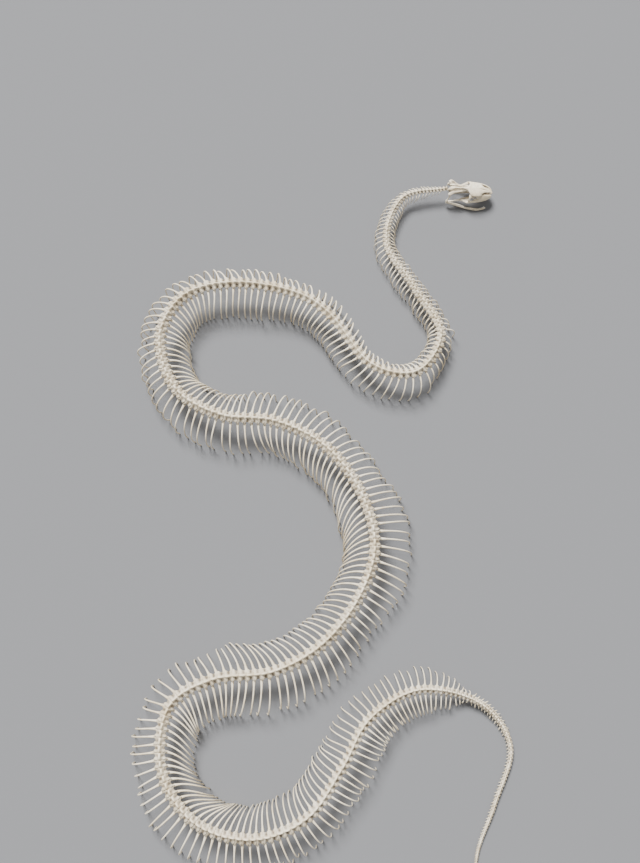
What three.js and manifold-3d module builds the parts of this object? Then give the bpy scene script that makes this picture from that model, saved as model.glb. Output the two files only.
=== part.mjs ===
// Skeleton of a large python, laid out in loose bends and resting on its rib tips,
// lower jaws and tail. Millimetres, +Z up, floor at z = 0, origin below the middle
// of the footprint. Distances "along" run down the spine from the back of the skull.
// Left and right are the animal's own.
import * as THREE from 'three';
import { mergeVertices } from 'three/addons/utils/BufferGeometryUtils.js';
import Module from 'manifold-3d';

const wasm = await Module();
wasm.setup();

// ---------------------------------------------------------------- driving sizes

// Plan of the spine: one point about every 80 mm, from the skull to the tail tip.
const SPINE_PLAN = [
  [206, 405], [133, 388], [106, 311], [148, 234], [187, 158], [148, 95], [77, 107], [15, 185],
  [-41, 220], [-133, 235], [-210, 214], [-245, 148], [-219, 67], [-151, 26], [-68, 16],
  [5, -20], [57, -85], [80, -166], [58, -240], [6, -307], [-66, -347], [-152, -358],
  [-213, -396], [-220, -480], [-173, -547], [-93, -569], [-18, -542], [31, -477], [71, -411],
  [145, -373], [233, -395], [274, -456], [248, -534], [220, -606], [222, -686],
];
const FOOTPRINT_CENTRE = [-5.6, -132.9];

// Sizes that change along the body, as [distance along, size] stops.
const SPINE_HEIGHT = [
  [0, 22], [100, 21], [250, 27], [450, 38], [700, 43], [2250, 42], [2400, 31],
  [2470, 15], [2540, 6.6], [2600, 4.8], [2800, 2],
];
const VERTEBRA_PITCH = [
  [0, 5.4], [100, 6.6], [250, 8], [450, 9.7], [700, 10.3], [1600, 10.4],
  [2200, 9.6], [2400, 8.4], [2470, 5.9], [2600, 5], [2800, 2.6],
];
const VERTEBRA_HALF_WIDTH = [
  [0, 4.5], [100, 6], [300, 7.8], [700, 9.6], [1900, 9.6], [2300, 8.2],
  [2470, 6.4], [2600, 4], [2800, 1.6],
];

// How the ribs lie on each side: [along, sideways reach, backward sweep] of the tips.
const RIB_LAY = {
  right: [
    [0, 5, 1], [60, 10, 3], [110, 14, 5], [370, 21, 5], [430, 34, 8], [510, 34, 5],
    [560, 34, 0], [650, 36, -1], [710, 43, -3], [800, 40, 6], [900, 42, 14],
    [960, 38, 25], [1040, 37, 8], [1140, 45, 7], [1220, 46, 9], [1300, 42, 13],
    [1360, 57, 6], [1450, 58, 3], [1520, 47, 5], [1600, 57, 9], [1740, 55, 20],
    [1820, 53, 30], [1900, 39, 38], [1960, 37, 33], [2030, 34, 8], [2100, 38, 2],
    [2180, 38, 10], [2250, 39, -4], [2350, 30, -3], [2400, 29, -4], [2436, 19, 0],
    [2450, 11, 1], [2466, 8, -3],
  ],
  left: [
    [0, 5, 1], [60, 10, 3], [110, 16, 5], [200, 22, 5], [300, 20, 5], [500, 21, 6],
    [560, 33, 8], [720, 36, 6], [800, 40, 9], [900, 45, 9], [960, 46, 11],
    [1040, 49, 9], [1090, 51, 2], [1140, 43, 17], [1220, 47, 21], [1300, 46, 26],
    [1370, 46, 36], [1450, 42, 22], [1520, 40, 16], [1600, 42, 16], [1690, 42, 24],
    [1740, 34, 6], [1810, 38, 6], [1900, 47, 0], [1960, 54, 1], [2100, 48, 1],
    [2180, 45, 0], [2250, 46, -3], [2350, 40, 1], [2400, 36, 2], [2436, 25, 2],
    [2450, 16, 3], [2466, 8, -3],
  ],
};

// How far down to the floor the rib tips come: the first and last ribs are short.
const RIB_DROP_SHARE = [[0, 0.35], [120, 1], [2430, 1], [2466, 0.8]];

const TRUNK_END = 2466;
const NECK_END = 215;
const TRUNK_LENGTHS = 12;
const TAIL_START = TRUNK_END;
const TAIL_LENGTHS = 3;
const TAIL_RINGS_PER_VERTEBRA = [1, 0.5, 0.5];
const TAIL_KEEL_DEPTH = 1.25;
const FIRST_RIB = 2;

const GAP = 0.3;
const SLIVER = 0.3;
const VERTEBRAE_PER_FACE = 3;

// A rib's root, elbow and tip, as fractions of its reach, drop and sweep.
const RIB_ROOT_IN = 3.5;
const RIB_ROOT_DROP = 0.4;
const RIB_ELBOW = { out: 0.82, drop: 0.3, back: 0.42 };
const RIB_RADIUS = [1.7, 1.3, 0];

// Half of a vertebra's section: crest, side process and keel, as fractions of half width.
const CREST_HEIGHT = 0.78;
const KEEL_DEPTH = 0.72;
const PROCESS_HEIGHT = 0.2;

// Skull: heading in plan, and its own frame with x forward from the neck joint,
// y to the animal's left and z up from that joint.
const SKULL_YAW_DEG = -3;
const SKULL_OFFSET = [2.2, -2.2];

// Braincase and snout: [x, half width, roof height, floor depth].
const CRANIUM_SECTIONS = [
  [0, 4.5, 4.5, 4.5], [3, 7, 7.5, 5.5], [9, 8.6, 8.4, 5.6], [17, 7.2, 8.2, 5],
  [26, 6.8, 8.6, 4.5], [34, 9.6, 8.8, 3.6], [38, 11.2, 8.2, 3], [42, 8.6, 8, 2.6],
  [48, 11, 7.6, 2.4], [56, 10.6, 6.4, 2.8], [63, 8.4, 4.2, 3.2], [68, 5.2, 1.6, 3.8],
  [70, 2.6, -0.6, 3.8],
];
const CRANIUM_SIDES = 10;

const BONE = { ivory: 0xefe8d6, cream: 0xe6dcc4, shade: 0xd9cdb4 };

// ---------------------------------------------------------------- small helpers

// Value of a list of [distance, size] stops at a distance, eased between stops.
function sizeAt(stops, distance, column = 1) {
  const next = stops.findIndex((stop) => stop[0] > distance);
  if (next === 0) return stops[0][column];
  if (next < 0) return stops[stops.length - 1][column];
  const [before, after] = [stops[next - 1], stops[next]];
  const t = (distance - before[0]) / (after[0] - before[0]);
  return before[column] + (after[column] - before[column]) * t * t * (3 - 2 * t);
}

function boneMaterial(colour) {
  return new THREE.MeshStandardMaterial({ color: colour, roughness: 0.6, metalness: 0 });
}

// Welds a geometry by position alone, so that it is one closed shell.
function welded(geometry) {
  geometry.deleteAttribute('normal');
  geometry.deleteAttribute('uv');
  return mergeVertices(geometry, 1e-4);
}

function toSolid(geometry) {
  const shell = welded(geometry);
  return new wasm.Manifold(new wasm.Mesh({
    numProp: 3,
    vertProperties: new Float32Array(shell.attributes.position.array),
    triVerts: new Uint32Array(shell.index.array),
  }));
}

function toGeometry(solid) {
  const mesh = solid.getMesh();
  const geometry = new THREE.BufferGeometry();
  geometry.setAttribute('position', new THREE.BufferAttribute(mesh.vertProperties, 3));
  geometry.setIndex(new THREE.BufferAttribute(mesh.triVerts, 1));
  geometry.computeVertexNormals();
  return geometry;
}

// Joins closed shells into one solid and clears the slivers that the joins leave.
function union(geometries) {
  const joined = geometries.map(toSolid).reduce((whole, piece) => whole.add(piece));
  return joined.asOriginal().simplify(SLIVER);
}

// Moves every point of a geometry through a function of its x, y and z.
function reshaped(geometry, place) {
  const position = geometry.attributes.position;
  const point = new THREE.Vector3();
  for (let i = 0; i < position.count; i += 1) {
    point.fromBufferAttribute(position, i);
    point.copy(place(point.x, point.y, point.z));
    position.setXYZ(i, point.x, point.y, point.z);
  }
  return geometry;
}

// A limb through the given points, with one radius at each of them. A last radius of
// zero ends it in a point. flat squeezes its section along the frame's second axis.
function limb(points, radii, sides = 3, flat = 1) {
  const steps = points.length - 1;
  const path = new THREE.CatmullRomCurve3(points);
  const frames = [];
  const middle = path.getTangent(0.5);
  const across = new THREE.Vector3(0, 0, 1).cross(middle).normalize();
  for (let i = 0; i <= steps; i += 1) {
    const along = path.getTangent(i / steps);
    const out = across.clone().addScaledVector(along, -across.dot(along)).normalize();
    frames.push({ at: points[i], out, up: along.clone().cross(out) });
  }
  const pointed = radii[steps] === 0;
  const tube = pointed
    ? new THREE.ConeGeometry(1, 1, sides, steps, false)
    : new THREE.CylinderGeometry(1, 1, 1, sides, steps, false);
  return reshaped(tube, (x, y, z) => {
    const ring = Math.round((y + 0.5) * steps);
    const spread = pointed ? 1 - ring / steps : 1;
    const scale = spread > 0 ? radii[ring] / spread : 0;
    const { at, out, up } = frames[ring];
    return at.clone().addScaledVector(up, x * scale * flat).addScaledVector(out, z * scale);
  });
}

// ---------------------------------------------------------------- the spine's course

const course = new THREE.CatmullRomCurve3(
  SPINE_PLAN.map(([x, y]) => new THREE.Vector3(
    x - FOOTPRINT_CENTRE[0],
    y - FOOTPRINT_CENTRE[1],
    0,
  )),
  false,
  'catmullrom',
  0.5,
);
course.arcLengthDivisions = 6000;
const SPINE_LENGTH = course.getLength();

// The spine's frame at a distance along it: toward the tail, to the animal's right, up.
function spineFrame(distance) {
  const share = THREE.MathUtils.clamp(distance / SPINE_LENGTH, 0, 1);
  const at = course.getPointAt(share).setZ(sizeAt(SPINE_HEIGHT, distance));
  const back = course.getTangentAt(share).setZ(0).normalize();
  const right = new THREE.Vector3(0, 0, 1).cross(back);
  return { at, back, right };
}

// A point beside the spine: out to the animal's right, up, and back along the body.
function besideSpine({ at, back, right }, out, rise, sweep = 0) {
  return at.clone().addScaledVector(right, out).addScaledVector(back, sweep)
    .add(new THREE.Vector3(0, 0, rise));
}

// Distances of the vertebrae between two places, each one pitch after the last.
function vertebraePlaces(from, to) {
  const places = [];
  let distance = from;
  while (distance < to) {
    const pitch = sizeAt(VERTEBRA_PITCH, distance);
    places.push(distance + pitch / 2);
    distance += pitch;
  }
  return places;
}

const trunkVertebrae = vertebraePlaces(0, TRUNK_END);
const tailVertebrae = vertebraePlaces(TAIL_START, SPINE_LENGTH);

// ---------------------------------------------------------------- neck and trunk

// One rib: it leaves the vertebra's side, bends at the elbow and stands on the floor.
function rib(distance, side) {
  const sign = side === 'right' ? 1 : -1;
  const frame = spineFrame(distance);
  const reach = sizeAt(RIB_LAY[side], distance, 1);
  const sweep = sizeAt(RIB_LAY[side], distance, 2);
  const halfWidth = sizeAt(VERTEBRA_HALF_WIDTH, distance);
  const stout = halfWidth / VERTEBRA_HALF_WIDTH[3][1];
  const drop = frame.at.z * sizeAt(RIB_DROP_SHARE, distance);
  const rootIn = RIB_ROOT_IN * stout;
  const root = besideSpine(frame, sign * rootIn, -RIB_ROOT_DROP * stout);
  const elbow = besideSpine(
    frame,
    sign * (rootIn + (reach - rootIn) * RIB_ELBOW.out),
    -drop * RIB_ELBOW.drop,
    sweep * RIB_ELBOW.back,
  );
  const tip = besideSpine(frame, sign * reach, -drop, sweep);
  return limb([root, elbow, tip], RIB_RADIUS.map((radius) => radius * stout));
}

// One half of the column between two places, cut down the body's middle plane.
function halfColumn(from, to, side) {
  const sign = side === 'right' ? 1 : -1;
  const inner = GAP / 2;
  const outline = new THREE.Shape([
    new THREE.Vector2(0, CREST_HEIGHT),
    new THREE.Vector2(sign, PROCESS_HEIGHT),
    new THREE.Vector2(0, -KEEL_DEPTH),
  ]);
  const pitch = sizeAt(VERTEBRA_PITCH, (from + to) / 2);
  const steps = Math.max(1, Math.round((to - from) / pitch / VERTEBRAE_PER_FACE));
  const bar = new THREE.ExtrudeGeometry(outline, { depth: 1, steps, bevelEnabled: false });
  return reshaped(bar, (x, y, z) => {
    const distance = from + (to - from) * z;
    const halfWidth = sizeAt(VERTEBRA_HALF_WIDTH, distance);
    const out = sign * inner + x * (halfWidth - inner);
    return besideSpine(spineFrame(distance), out, y * halfWidth);
  });
}

function ribbedHalf(from, to, side) {
  const places = trunkVertebrae.filter((place, index) => (
    index >= FIRST_RIB && place > from && place < to
  ));
  const bones = [halfColumn(from + GAP / 2, to - GAP / 2, side)];
  places.forEach((place) => bones.push(rib(place, side)));
  return union(bones);
}

// Joints between lengths fall between two vertebrae.
function jointNear(distance) {
  const after = trunkVertebrae.findIndex((place) => place > distance);
  return (trunkVertebrae[after - 1] + trunkVertebrae[after]) / 2;
}

function bodyLengths() {
  const lengths = [{ name: 'neck', from: 0, to: jointNear(NECK_END) }];
  for (let i = 0; i < TRUNK_LENGTHS; i += 1) {
    const step = (TRUNK_END - NECK_END) / TRUNK_LENGTHS;
    const last = i === TRUNK_LENGTHS - 1;
    lengths.push({
      name: `trunk_${String(i + 1).padStart(2, '0')}`,
      from: jointNear(NECK_END + step * i),
      to: last ? TRUNK_END : jointNear(NECK_END + step * (i + 1)),
    });
  }
  return lengths;
}

// ---------------------------------------------------------------- tail

// A length of tail. Its rings flare in turn, as the side processes of the vertebrae do.
function tailLength(index) {
  const share = tailVertebrae.length / TAIL_LENGTHS;
  const first = Math.round(share * index);
  const end = Math.round(share * (index + 1));
  const startOf = (i) => (i < tailVertebrae.length
    ? tailVertebrae[i] - sizeAt(VERTEBRA_PITCH, tailVertebrae[i]) / 2
    : SPINE_LENGTH);
  const from = startOf(first) + GAP / 2;
  const to = startOf(end) - GAP / 2;
  const ringsEach = TAIL_RINGS_PER_VERTEBRA[index];
  const steps = Math.round((end - first) * ringsEach);
  const bar = new THREE.CylinderGeometry(1, 1, 1, 4, steps, false);
  return reshaped(bar, (x, y, z) => {
    const ring = Math.round((0.5 - y) * steps);
    const distance = from + (to - from) * (ring / steps);
    const halfWidth = sizeAt(VERTEBRA_HALF_WIDTH, distance);
    const flare = ring % 2 === 0 ? 0.85 : 1.15;
    const frame = spineFrame(distance);
    const depth = Math.min(frame.at.z, halfWidth * TAIL_KEEL_DEPTH);
    return besideSpine(frame, x * halfWidth * flare, z > 0 ? z * halfWidth * 0.8 : z * depth);
  });
}

// ---------------------------------------------------------------- skull

const skull = new THREE.Group();
const neckJoint = spineFrame(0);
skull.position.copy(neckJoint.at);
skull.rotation.z = THREE.MathUtils.degToRad(SKULL_YAW_DEG);
skull.position.x += SKULL_OFFSET[0];
skull.position.y += SKULL_OFFSET[1];

const skullPoints = (rows) => rows.map(([x, y, z]) => new THREE.Vector3(x, y, z));

function cranium() {
  const steps = CRANIUM_SECTIONS.length - 1;
  const barrel = new THREE.CylinderGeometry(1, 1, 1, CRANIUM_SIDES, steps, false);
  const body = reshaped(barrel, (x, y, z) => {
    const [forward, halfWidth, roof, floor] = CRANIUM_SECTIONS[Math.round((0.5 - y) * steps)];
    const middle = (roof - floor) / 2;
    const halfHeight = (roof + floor) / 2;
    return new THREE.Vector3(forward, x * halfWidth, middle + z * halfHeight);
  });
  const bones = [body];
  for (const side of [1, -1]) {
    bones.push(limb(
      skullPoints([[37, side * 9, 6.5], [36, side * 14.5, 3.5], [34.5, side * 16.2, -2.5]]),
      [1.7, 1.3, 1.1],
      4,
    ));
    bones.push(limb(
      skullPoints([[49, side * 8, 5], [48.5, side * 12.5, 1.5], [48, side * 13, -2.5]]),
      [3.4, 2.4, 1.6],
      5,
    ));
  }
  return union(bones);
}

// A row of backward teeth on a jaw: [x, y, z] roots at the given places.
function teeth(roots, up, length) {
  return roots.map(([x, y, z]) => limb(
    skullPoints([[x, y, z - up * 1], [x - length * 0.4, y, z + up * length]]),
    [0.9, 0],
  ));
}

function between(start, end, count) {
  const rows = [];
  for (let i = 0; i < count; i += 1) {
    const t = i / (count - 1);
    rows.push(start.map((value, axis) => value + (end[axis] - value) * t));
  }
  return rows;
}

function maxilla(side) {
  const bar = limb(
    skullPoints([
      [31, side * 17, -6], [38, side * 16.8, -6], [47, side * 15.2, -5.2],
      [56, side * 13.4, -4.6], [63, side * 10.2, -4.6], [68.5, side * 6, -5],
    ]),
    [1.2, 1.9, 2.1, 2.2, 2, 1.5],
    5,
    1.25,
  );
  const rows = [
    ...between([38, side * 16.6, -7.4], [54, side * 13.2, -6.4], 4),
    ...between([58, side * 12.2, -6.2], [65.5, side * 8.2, -6], 3),
  ];
  return union([bar, ...teeth(rows, -1, 3.6)]);
}

// The pterygoid and palatine bar, with the strut that spreads to the upper jaw's end.
function palate(side) {
  const bar = limb(
    skullPoints([
      [2, side * 13, -10.4], [12, side * 12.4, -9], [22, side * 10.6, -8],
      [32, side * 8.4, -7.2], [44, side * 6.4, -6.6], [58, side * 5.2, -6.2],
    ]),
    [1, 1.5, 2, 2, 1.6, 1],
    5,
    0.8,
  );
  const strut = limb(
    skullPoints([[24, side * 10, -7.8], [27.5, side * 14, -7.2], [28.9, side * 16.4, -6.6]]),
    [1.5, 1.3, 0.9],
    4,
  );
  return union([bar, strut]);
}

function supratemporal(side) {
  return toSolid(limb(
    skullPoints([[17, side * 6.8, 8], [8, side * 9.2, 8.2], [-2, side * 10.6, 7.2]]),
    [1, 1.4, 1.7],
    5,
  ));
}

function quadrate(side) {
  return toSolid(limb(
    skullPoints([
      [-1, side * 11.4, 2.8], [-1, side * 12.6, -1], [-1.6, side * 14, -5.4],
      [-2, side * 15, -8.6],
    ]),
    [2.2, 1.4, 1.3, 2],
    5,
    0.8,
  ));
}

// The lower jaws rest on the floor, the right one spread further than the left.
const JAW_BOTTOM = -22;
const MANDIBLES = {
  left: { joint: 15.6, middle: 13.6, front: 13, tip: 9, forward: 60 },
  right: { joint: -15.6, middle: -21.5, front: -23, tip: -19.6, forward: 62 },
};

function mandible(side) {
  const { joint, middle, front, tip, forward } = MANDIBLES[side];
  const bar = limb(
    skullPoints([
      [-3, joint, -12.6], [3, joint + (middle - joint) * 0.2, -13.2],
      [forward * 0.28, joint + (middle - joint) * 0.6, -16],
      [forward * 0.5, middle, JAW_BOTTOM + 3.6], [forward * 0.74, front, JAW_BOTTOM + 2.6],
      [forward * 0.9, (front + tip) / 2, JAW_BOTTOM + 3], [forward, tip, JAW_BOTTOM + 4.6],
    ]),
    [1.6, 2, 2.7, 2.5, 2.1, 1.9, 1.2],
    5,
    1.2,
  );
  const roots = between(
    [forward * 0.62, (middle + front) / 2, JAW_BOTTOM + 5],
    [forward * 0.94, (front + tip) / 2 + (tip - front) * 0.1, JAW_BOTTOM + 5],
    5,
  );
  return union([bar, ...teeth(roots, 1, 3.4)]);
}

// ---------------------------------------------------------------- the skeleton

const skeleton = new THREE.Group();

function addBone(parent, name, solid, colour) {
  const mesh = new THREE.Mesh(toGeometry(solid), boneMaterial(colour));
  mesh.name = name;
  parent.add(mesh);
}

skeleton.add(skull);
addBone(skull, 'skull_cranium', cranium(), BONE.ivory);
[['left', 1], ['right', -1]].forEach(([side, sign]) => {
  addBone(skull, `skull_maxilla_${side}`, maxilla(sign), BONE.ivory);
  addBone(skull, `skull_palate_${side}`, palate(sign), BONE.cream);
  addBone(skull, `skull_supratemporal_${side}`, supratemporal(sign), BONE.ivory);
  addBone(skull, `skull_quadrate_${side}`, quadrate(sign), BONE.cream);
  addBone(skull, `mandible_${side}`, mandible(side), BONE.shade);
});

bodyLengths().forEach(({ name, from, to }) => {
  ['left', 'right'].forEach((side) => {
    addBone(skeleton, `${name}_${side}`, ribbedHalf(from, to, side), BONE.cream);
  });
});

for (let i = 0; i < TAIL_LENGTHS; i += 1) {
  addBone(skeleton, `tail_${i + 1}`, toSolid(tailLength(i)), BONE.cream);
}

export default skeleton;
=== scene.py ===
"""Looks of a large python's skeleton, laid out in loose bends on a pale floor.

Sizes are in millimetres in the part's own frame until a piece is made, and in metres
from then on. Distances "along" run down the spine from the back of the skull. Left and
right are the animal's own.
"""

import logging
import math
from dataclasses import dataclass, field, replace
from enum import Enum
from typing import Any, Sequence

import bpy
import numpy as np
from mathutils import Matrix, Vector

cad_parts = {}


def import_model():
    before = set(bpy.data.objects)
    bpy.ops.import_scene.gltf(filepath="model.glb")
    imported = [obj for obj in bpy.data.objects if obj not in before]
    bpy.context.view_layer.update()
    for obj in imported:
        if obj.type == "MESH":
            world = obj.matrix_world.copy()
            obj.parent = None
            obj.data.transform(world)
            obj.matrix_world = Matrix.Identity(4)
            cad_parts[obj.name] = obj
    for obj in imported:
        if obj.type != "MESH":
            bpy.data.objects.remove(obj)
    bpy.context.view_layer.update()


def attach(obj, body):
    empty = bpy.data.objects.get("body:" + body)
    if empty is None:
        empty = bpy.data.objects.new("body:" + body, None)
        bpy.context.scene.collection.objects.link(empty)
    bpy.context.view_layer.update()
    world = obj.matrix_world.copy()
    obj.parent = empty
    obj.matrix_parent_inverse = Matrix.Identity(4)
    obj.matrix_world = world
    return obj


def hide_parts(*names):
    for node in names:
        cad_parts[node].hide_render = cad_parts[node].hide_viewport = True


LOG = logging.getLogger("skeleton")
METRES_PER_MM = 0.001
UP = np.array([0.0, 0.0, 1.0])
Stops = Sequence[Sequence[float]]
Frame = tuple[np.ndarray, np.ndarray, np.ndarray]
Colour = tuple[float, float, float, float]
SKULL_AT = (213.8, 535.7, 22.0)
SKULL_YAW_DEG = -3.0
TONES = (0.2, 0.8)  # how pale or dark single vertebrae and ribs are
TUBE_ENDS = (0.5, 0.6)  # how far a tube's poles stand out, in end radii
BAR_END = 0.5  # how far a bar's poles stand out, in its least end size
THINNEST = 0.15


class Side(Enum):
    """The animal's own sides, as the sign of y in the skull's frame."""

    LEFT = 1
    RIGHT = -1

    @property
    def word(self) -> str:
        """The side's name as the nodes spell it."""
        return self.name.lower()

    @property
    def beside_spine(self) -> int:
        """The side's sign along the spine frame's right-hand direction."""
        return -self.value

    @property
    def mirror(self) -> np.ndarray:
        """What a left-side point is multiplied by to lie on this side."""
        return np.array([1.0, self.value, 1.0])


# --- numbers along a line


def eased(stops: Stops, distance: np.ndarray | float, column: int = 1) -> np.ndarray:
    """Reads a list of [distance, size, ...] stops, with a smooth step between two stops.

    Args:
        stops: rows that start with a rising distance.
        distance: where to read, one value or an array.
        column: which number of the rows to read.

    Returns:
        The sizes, in the shape of distance.
    """
    table = np.asarray(stops, float)
    where = np.asarray(distance, float)
    after = np.clip(np.searchsorted(table[:, 0], where, side="right"), 1, len(table) - 1)
    low, high = table[after - 1], table[after]
    share = np.clip((where - low[..., 0]) / (high[..., 0] - low[..., 0]), 0.0, 1.0)
    return low[..., column] + (high - low)[..., column] * share * share * (3 - 2 * share)


def spline(points: np.ndarray, where: np.ndarray) -> np.ndarray:
    """Runs a uniform Catmull-Rom curve through points: between two of them it is the cubic
    whose slopes there are half the step from the point before to the point after.

    Args:
        points: the control rows, of any width.
        where: places on the curve, with point i at i.

    Returns:
        One row for each place.
    """
    rows = np.asarray(points, float)
    ends = np.vstack([2 * rows[0] - rows[1], rows, 2 * rows[-1] - rows[-2]])
    first = np.clip(np.floor(where).astype(int), 0, len(rows) - 2)
    t = (where - first)[:, None]
    p0, p1, p2, p3 = (ends[first + step] for step in range(4))
    return 0.5 * (
        2 * p1
        + (p2 - p0) * t
        + (2 * p0 - 5 * p1 + 4 * p2 - p3) * t**2
        + (3 * p1 - p0 - 3 * p2 + p3) * t**3
    )


def resampled(rows: Stops, count: int) -> np.ndarray:
    """Reads the curve through rows at even steps from its first row to its last."""
    return spline(rows, np.linspace(0, len(rows) - 1, count))


def unit(vectors: np.ndarray) -> np.ndarray:
    """Scales vectors in the last axis to a length of one."""
    return vectors / np.linalg.norm(vectors, axis=-1, keepdims=True)


def laid(frame: Frame, out: np.ndarray, aft: np.ndarray, rise: np.ndarray) -> np.ndarray:
    """Places points beside, behind and above the spine's own points.

    Args:
        frame: for each bone its point on the spine, and the ways to the tail and the right.
        out: how far each point lies to the right, (bones, ...).
        aft: how far towards the tail.
        rise: how far up.

    Returns:
        The points, (bones, ..., 3).
    """
    at, back, right = (part.reshape(-1, *[1] * (out.ndim - 1), 3) for part in frame)
    return at + right * out[..., None] + back * aft[..., None] + UP * rise[..., None]


def closed(half: np.ndarray, mirror: Sequence[float] = (1.0,)) -> np.ndarray:
    """Closes half sections with their own points in reverse, multiplied by the mirror."""
    return np.concatenate([half, half[:, -2:0:-1] * np.asarray(mirror)], axis=1)


def linked(name: str, data: bpy.types.ID) -> bpy.types.Object:
    """Adds an object that shows the data to the scene, at the origin."""
    made = bpy.data.objects.new(name, data)
    bpy.context.scene.collection.objects.link(made)
    return made


# --- shells


@dataclass
class Shell:
    """Like closed tubes, each of rings round a path and a pole at either end.

    rings is (tubes, rings, sides, 3), poles is (tubes, 2, 3). hollow says how deep in a
    recess each ring point lies, for painted shade on bone and for the root on teeth, and
    tone how pale or dark each tube is.
    """

    rings: np.ndarray
    poles: np.ndarray
    hollow: np.ndarray | float = 0.0
    tone: np.ndarray | float = 0.5

    def flat(self) -> tuple[np.ndarray, np.ndarray, np.ndarray]:
        """Lists every tube's points, ring by ring and then its poles.

        Returns:
            Points (tubes, points, 3), and hollow and tone as (tubes, points).
        """
        tubes, rings, sides, _ = self.rings.shape
        points = np.concatenate([self.rings.reshape(tubes, -1, 3), self.poles], axis=1)
        hollow = np.broadcast_to(self.hollow, (tubes, rings, sides)).reshape(tubes, -1)
        ends = hollow.reshape(tubes, rings, sides)[:, [0, -1]].mean(axis=2)
        hollow = np.concatenate([hollow, ends], axis=1)
        tone = np.broadcast_to(np.reshape(self.tone, (-1, 1)), hollow.shape)
        return points, hollow, tone

    def faces(self) -> tuple[np.ndarray, np.ndarray]:
        """Numbers one tube's faces.

        Returns:
            Quads between its rings, (faces, 4), and triangles at its poles, (faces, 3).
        """
        _, rings, sides, _ = self.rings.shape
        here = np.arange(sides)
        ahead = (here + 1) % sides
        start = (np.arange(rings - 1) * sides)[:, None]
        quads = np.stack(
            [start + here, start + ahead, start + sides + ahead, start + sides + here], -1
        ).reshape(-1, 4)
        last = (rings - 1) * sides
        pole = rings * sides
        near = np.stack([ahead, here, np.full(sides, pole)], -1)
        far = np.stack([last + here, last + ahead, np.full(sides, pole + 1)], -1)
        return quads, np.vstack([near, far])


class Piece:
    """Collects shells and makes them one named mesh object that faces outwards."""

    def __init__(self, name: str) -> None:
        """Starts an empty piece with the name its object will have."""
        self.name = name
        self.shells: list[Shell] = []

    def add(self, *shells: Shell) -> "Piece":
        """Takes in more shells and returns the piece."""
        self.shells.extend(shells)
        return self

    def make(self, finish: "Finish", levels: int = 0) -> bpy.types.Object:
        """Builds the mesh from whole arrays and links its object at the origin.

        Args:
            finish: the finish that dresses it.
            levels: levels of the Subdivision Surface modifier, or 0 for none.

        Returns:
            The object, in metres.
        """
        points, quads, tris, hollow, tone = [], [], [], [], []
        offset = 0
        for shell in self.shells:
            flat, deep, pale = shell.flat()
            tubes, count, _ = flat.shape
            four, three = shell.faces()
            inside = self._inside_out(flat, four, three)
            starts = offset + np.arange(tubes)[:, None, None] * count
            for kind, found in ((four, quads), (three, tris)):
                numbered = np.where(inside[:, None, None], kind[:, ::-1], kind) + starts
                found.append(numbered.reshape(-1, kind.shape[1]))
            points.append(flat.reshape(-1, 3))
            hollow.append(deep.ravel())
            tone.append(pale.ravel())
            offset += tubes * count
        mesh = self._mesh(
            np.vstack(points) * METRES_PER_MM, np.vstack(quads), np.vstack(tris)
        )
        # hollow carries the bone's painted shade in recesses, and the teeth's roots
        for name, values in (("hollow", hollow), ("tone", tone)):
            layer = mesh.attributes.new(name, "FLOAT", "POINT")
            layer.data.foreach_set("value", np.concatenate(values).astype(np.float32))
        mesh.materials.append(finish.material())
        made = linked(self.name, mesh)
        if levels:
            smooth = made.modifiers.new("smooth", "SUBSURF")
            smooth.levels = smooth.render_levels = levels
        LOG.info("%s: %d faces", self.name, len(mesh.polygons))
        return made

    @staticmethod
    def _inside_out(flat: np.ndarray, quads: np.ndarray, tris: np.ndarray) -> np.ndarray:
        """Tells which tubes face inwards, by the sign of the volume their faces enclose.

        Args:
            flat: every tube's points.
            quads: one tube's quads.
            tris: one tube's triangles.

        Returns:
            True for each tube that faces inwards.
        """
        local = flat - flat.mean(axis=1, keepdims=True)
        volume = np.zeros(len(flat))
        for half in (quads[:, [0, 1, 2]], quads[:, [0, 2, 3]], tris):
            a, b, c = (local[:, half[:, corner]] for corner in range(3))
            volume += np.einsum("tfi,tfi->t", a, np.cross(b, c))
        return volume < 0

    def _mesh(self, points: np.ndarray, quads: np.ndarray, tris: np.ndarray) -> bpy.types.Mesh:
        """Writes a new smooth-shaded mesh.

        Args:
            points: its points, in metres.
            quads: its quads.
            tris: its triangles, which come after the quads.

        Returns:
            The mesh, with the piece's name.
        """
        mesh = bpy.data.meshes.new(self.name)
        sizes = np.r_[np.full(len(quads), 4), np.full(len(tris), 3)].astype(np.int32)
        loops = np.r_[quads.ravel(), tris.ravel()].astype(np.int32)
        mesh.vertices.add(len(points))
        mesh.vertices.foreach_set("co", points.astype(np.float32).ravel())
        mesh.loops.add(len(loops))
        mesh.loops.foreach_set("vertex_index", loops)
        mesh.polygons.add(len(sizes))
        mesh.polygons.foreach_set("loop_start", np.r_[0, np.cumsum(sizes)[:-1]].astype(np.int32))
        mesh.polygons.foreach_set("loop_total", sizes)
        mesh.update(calc_edges=True)
        mesh.validate()
        mesh.polygons.foreach_set("use_smooth", np.ones(len(sizes), bool))
        return mesh


# --- finishes


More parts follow.
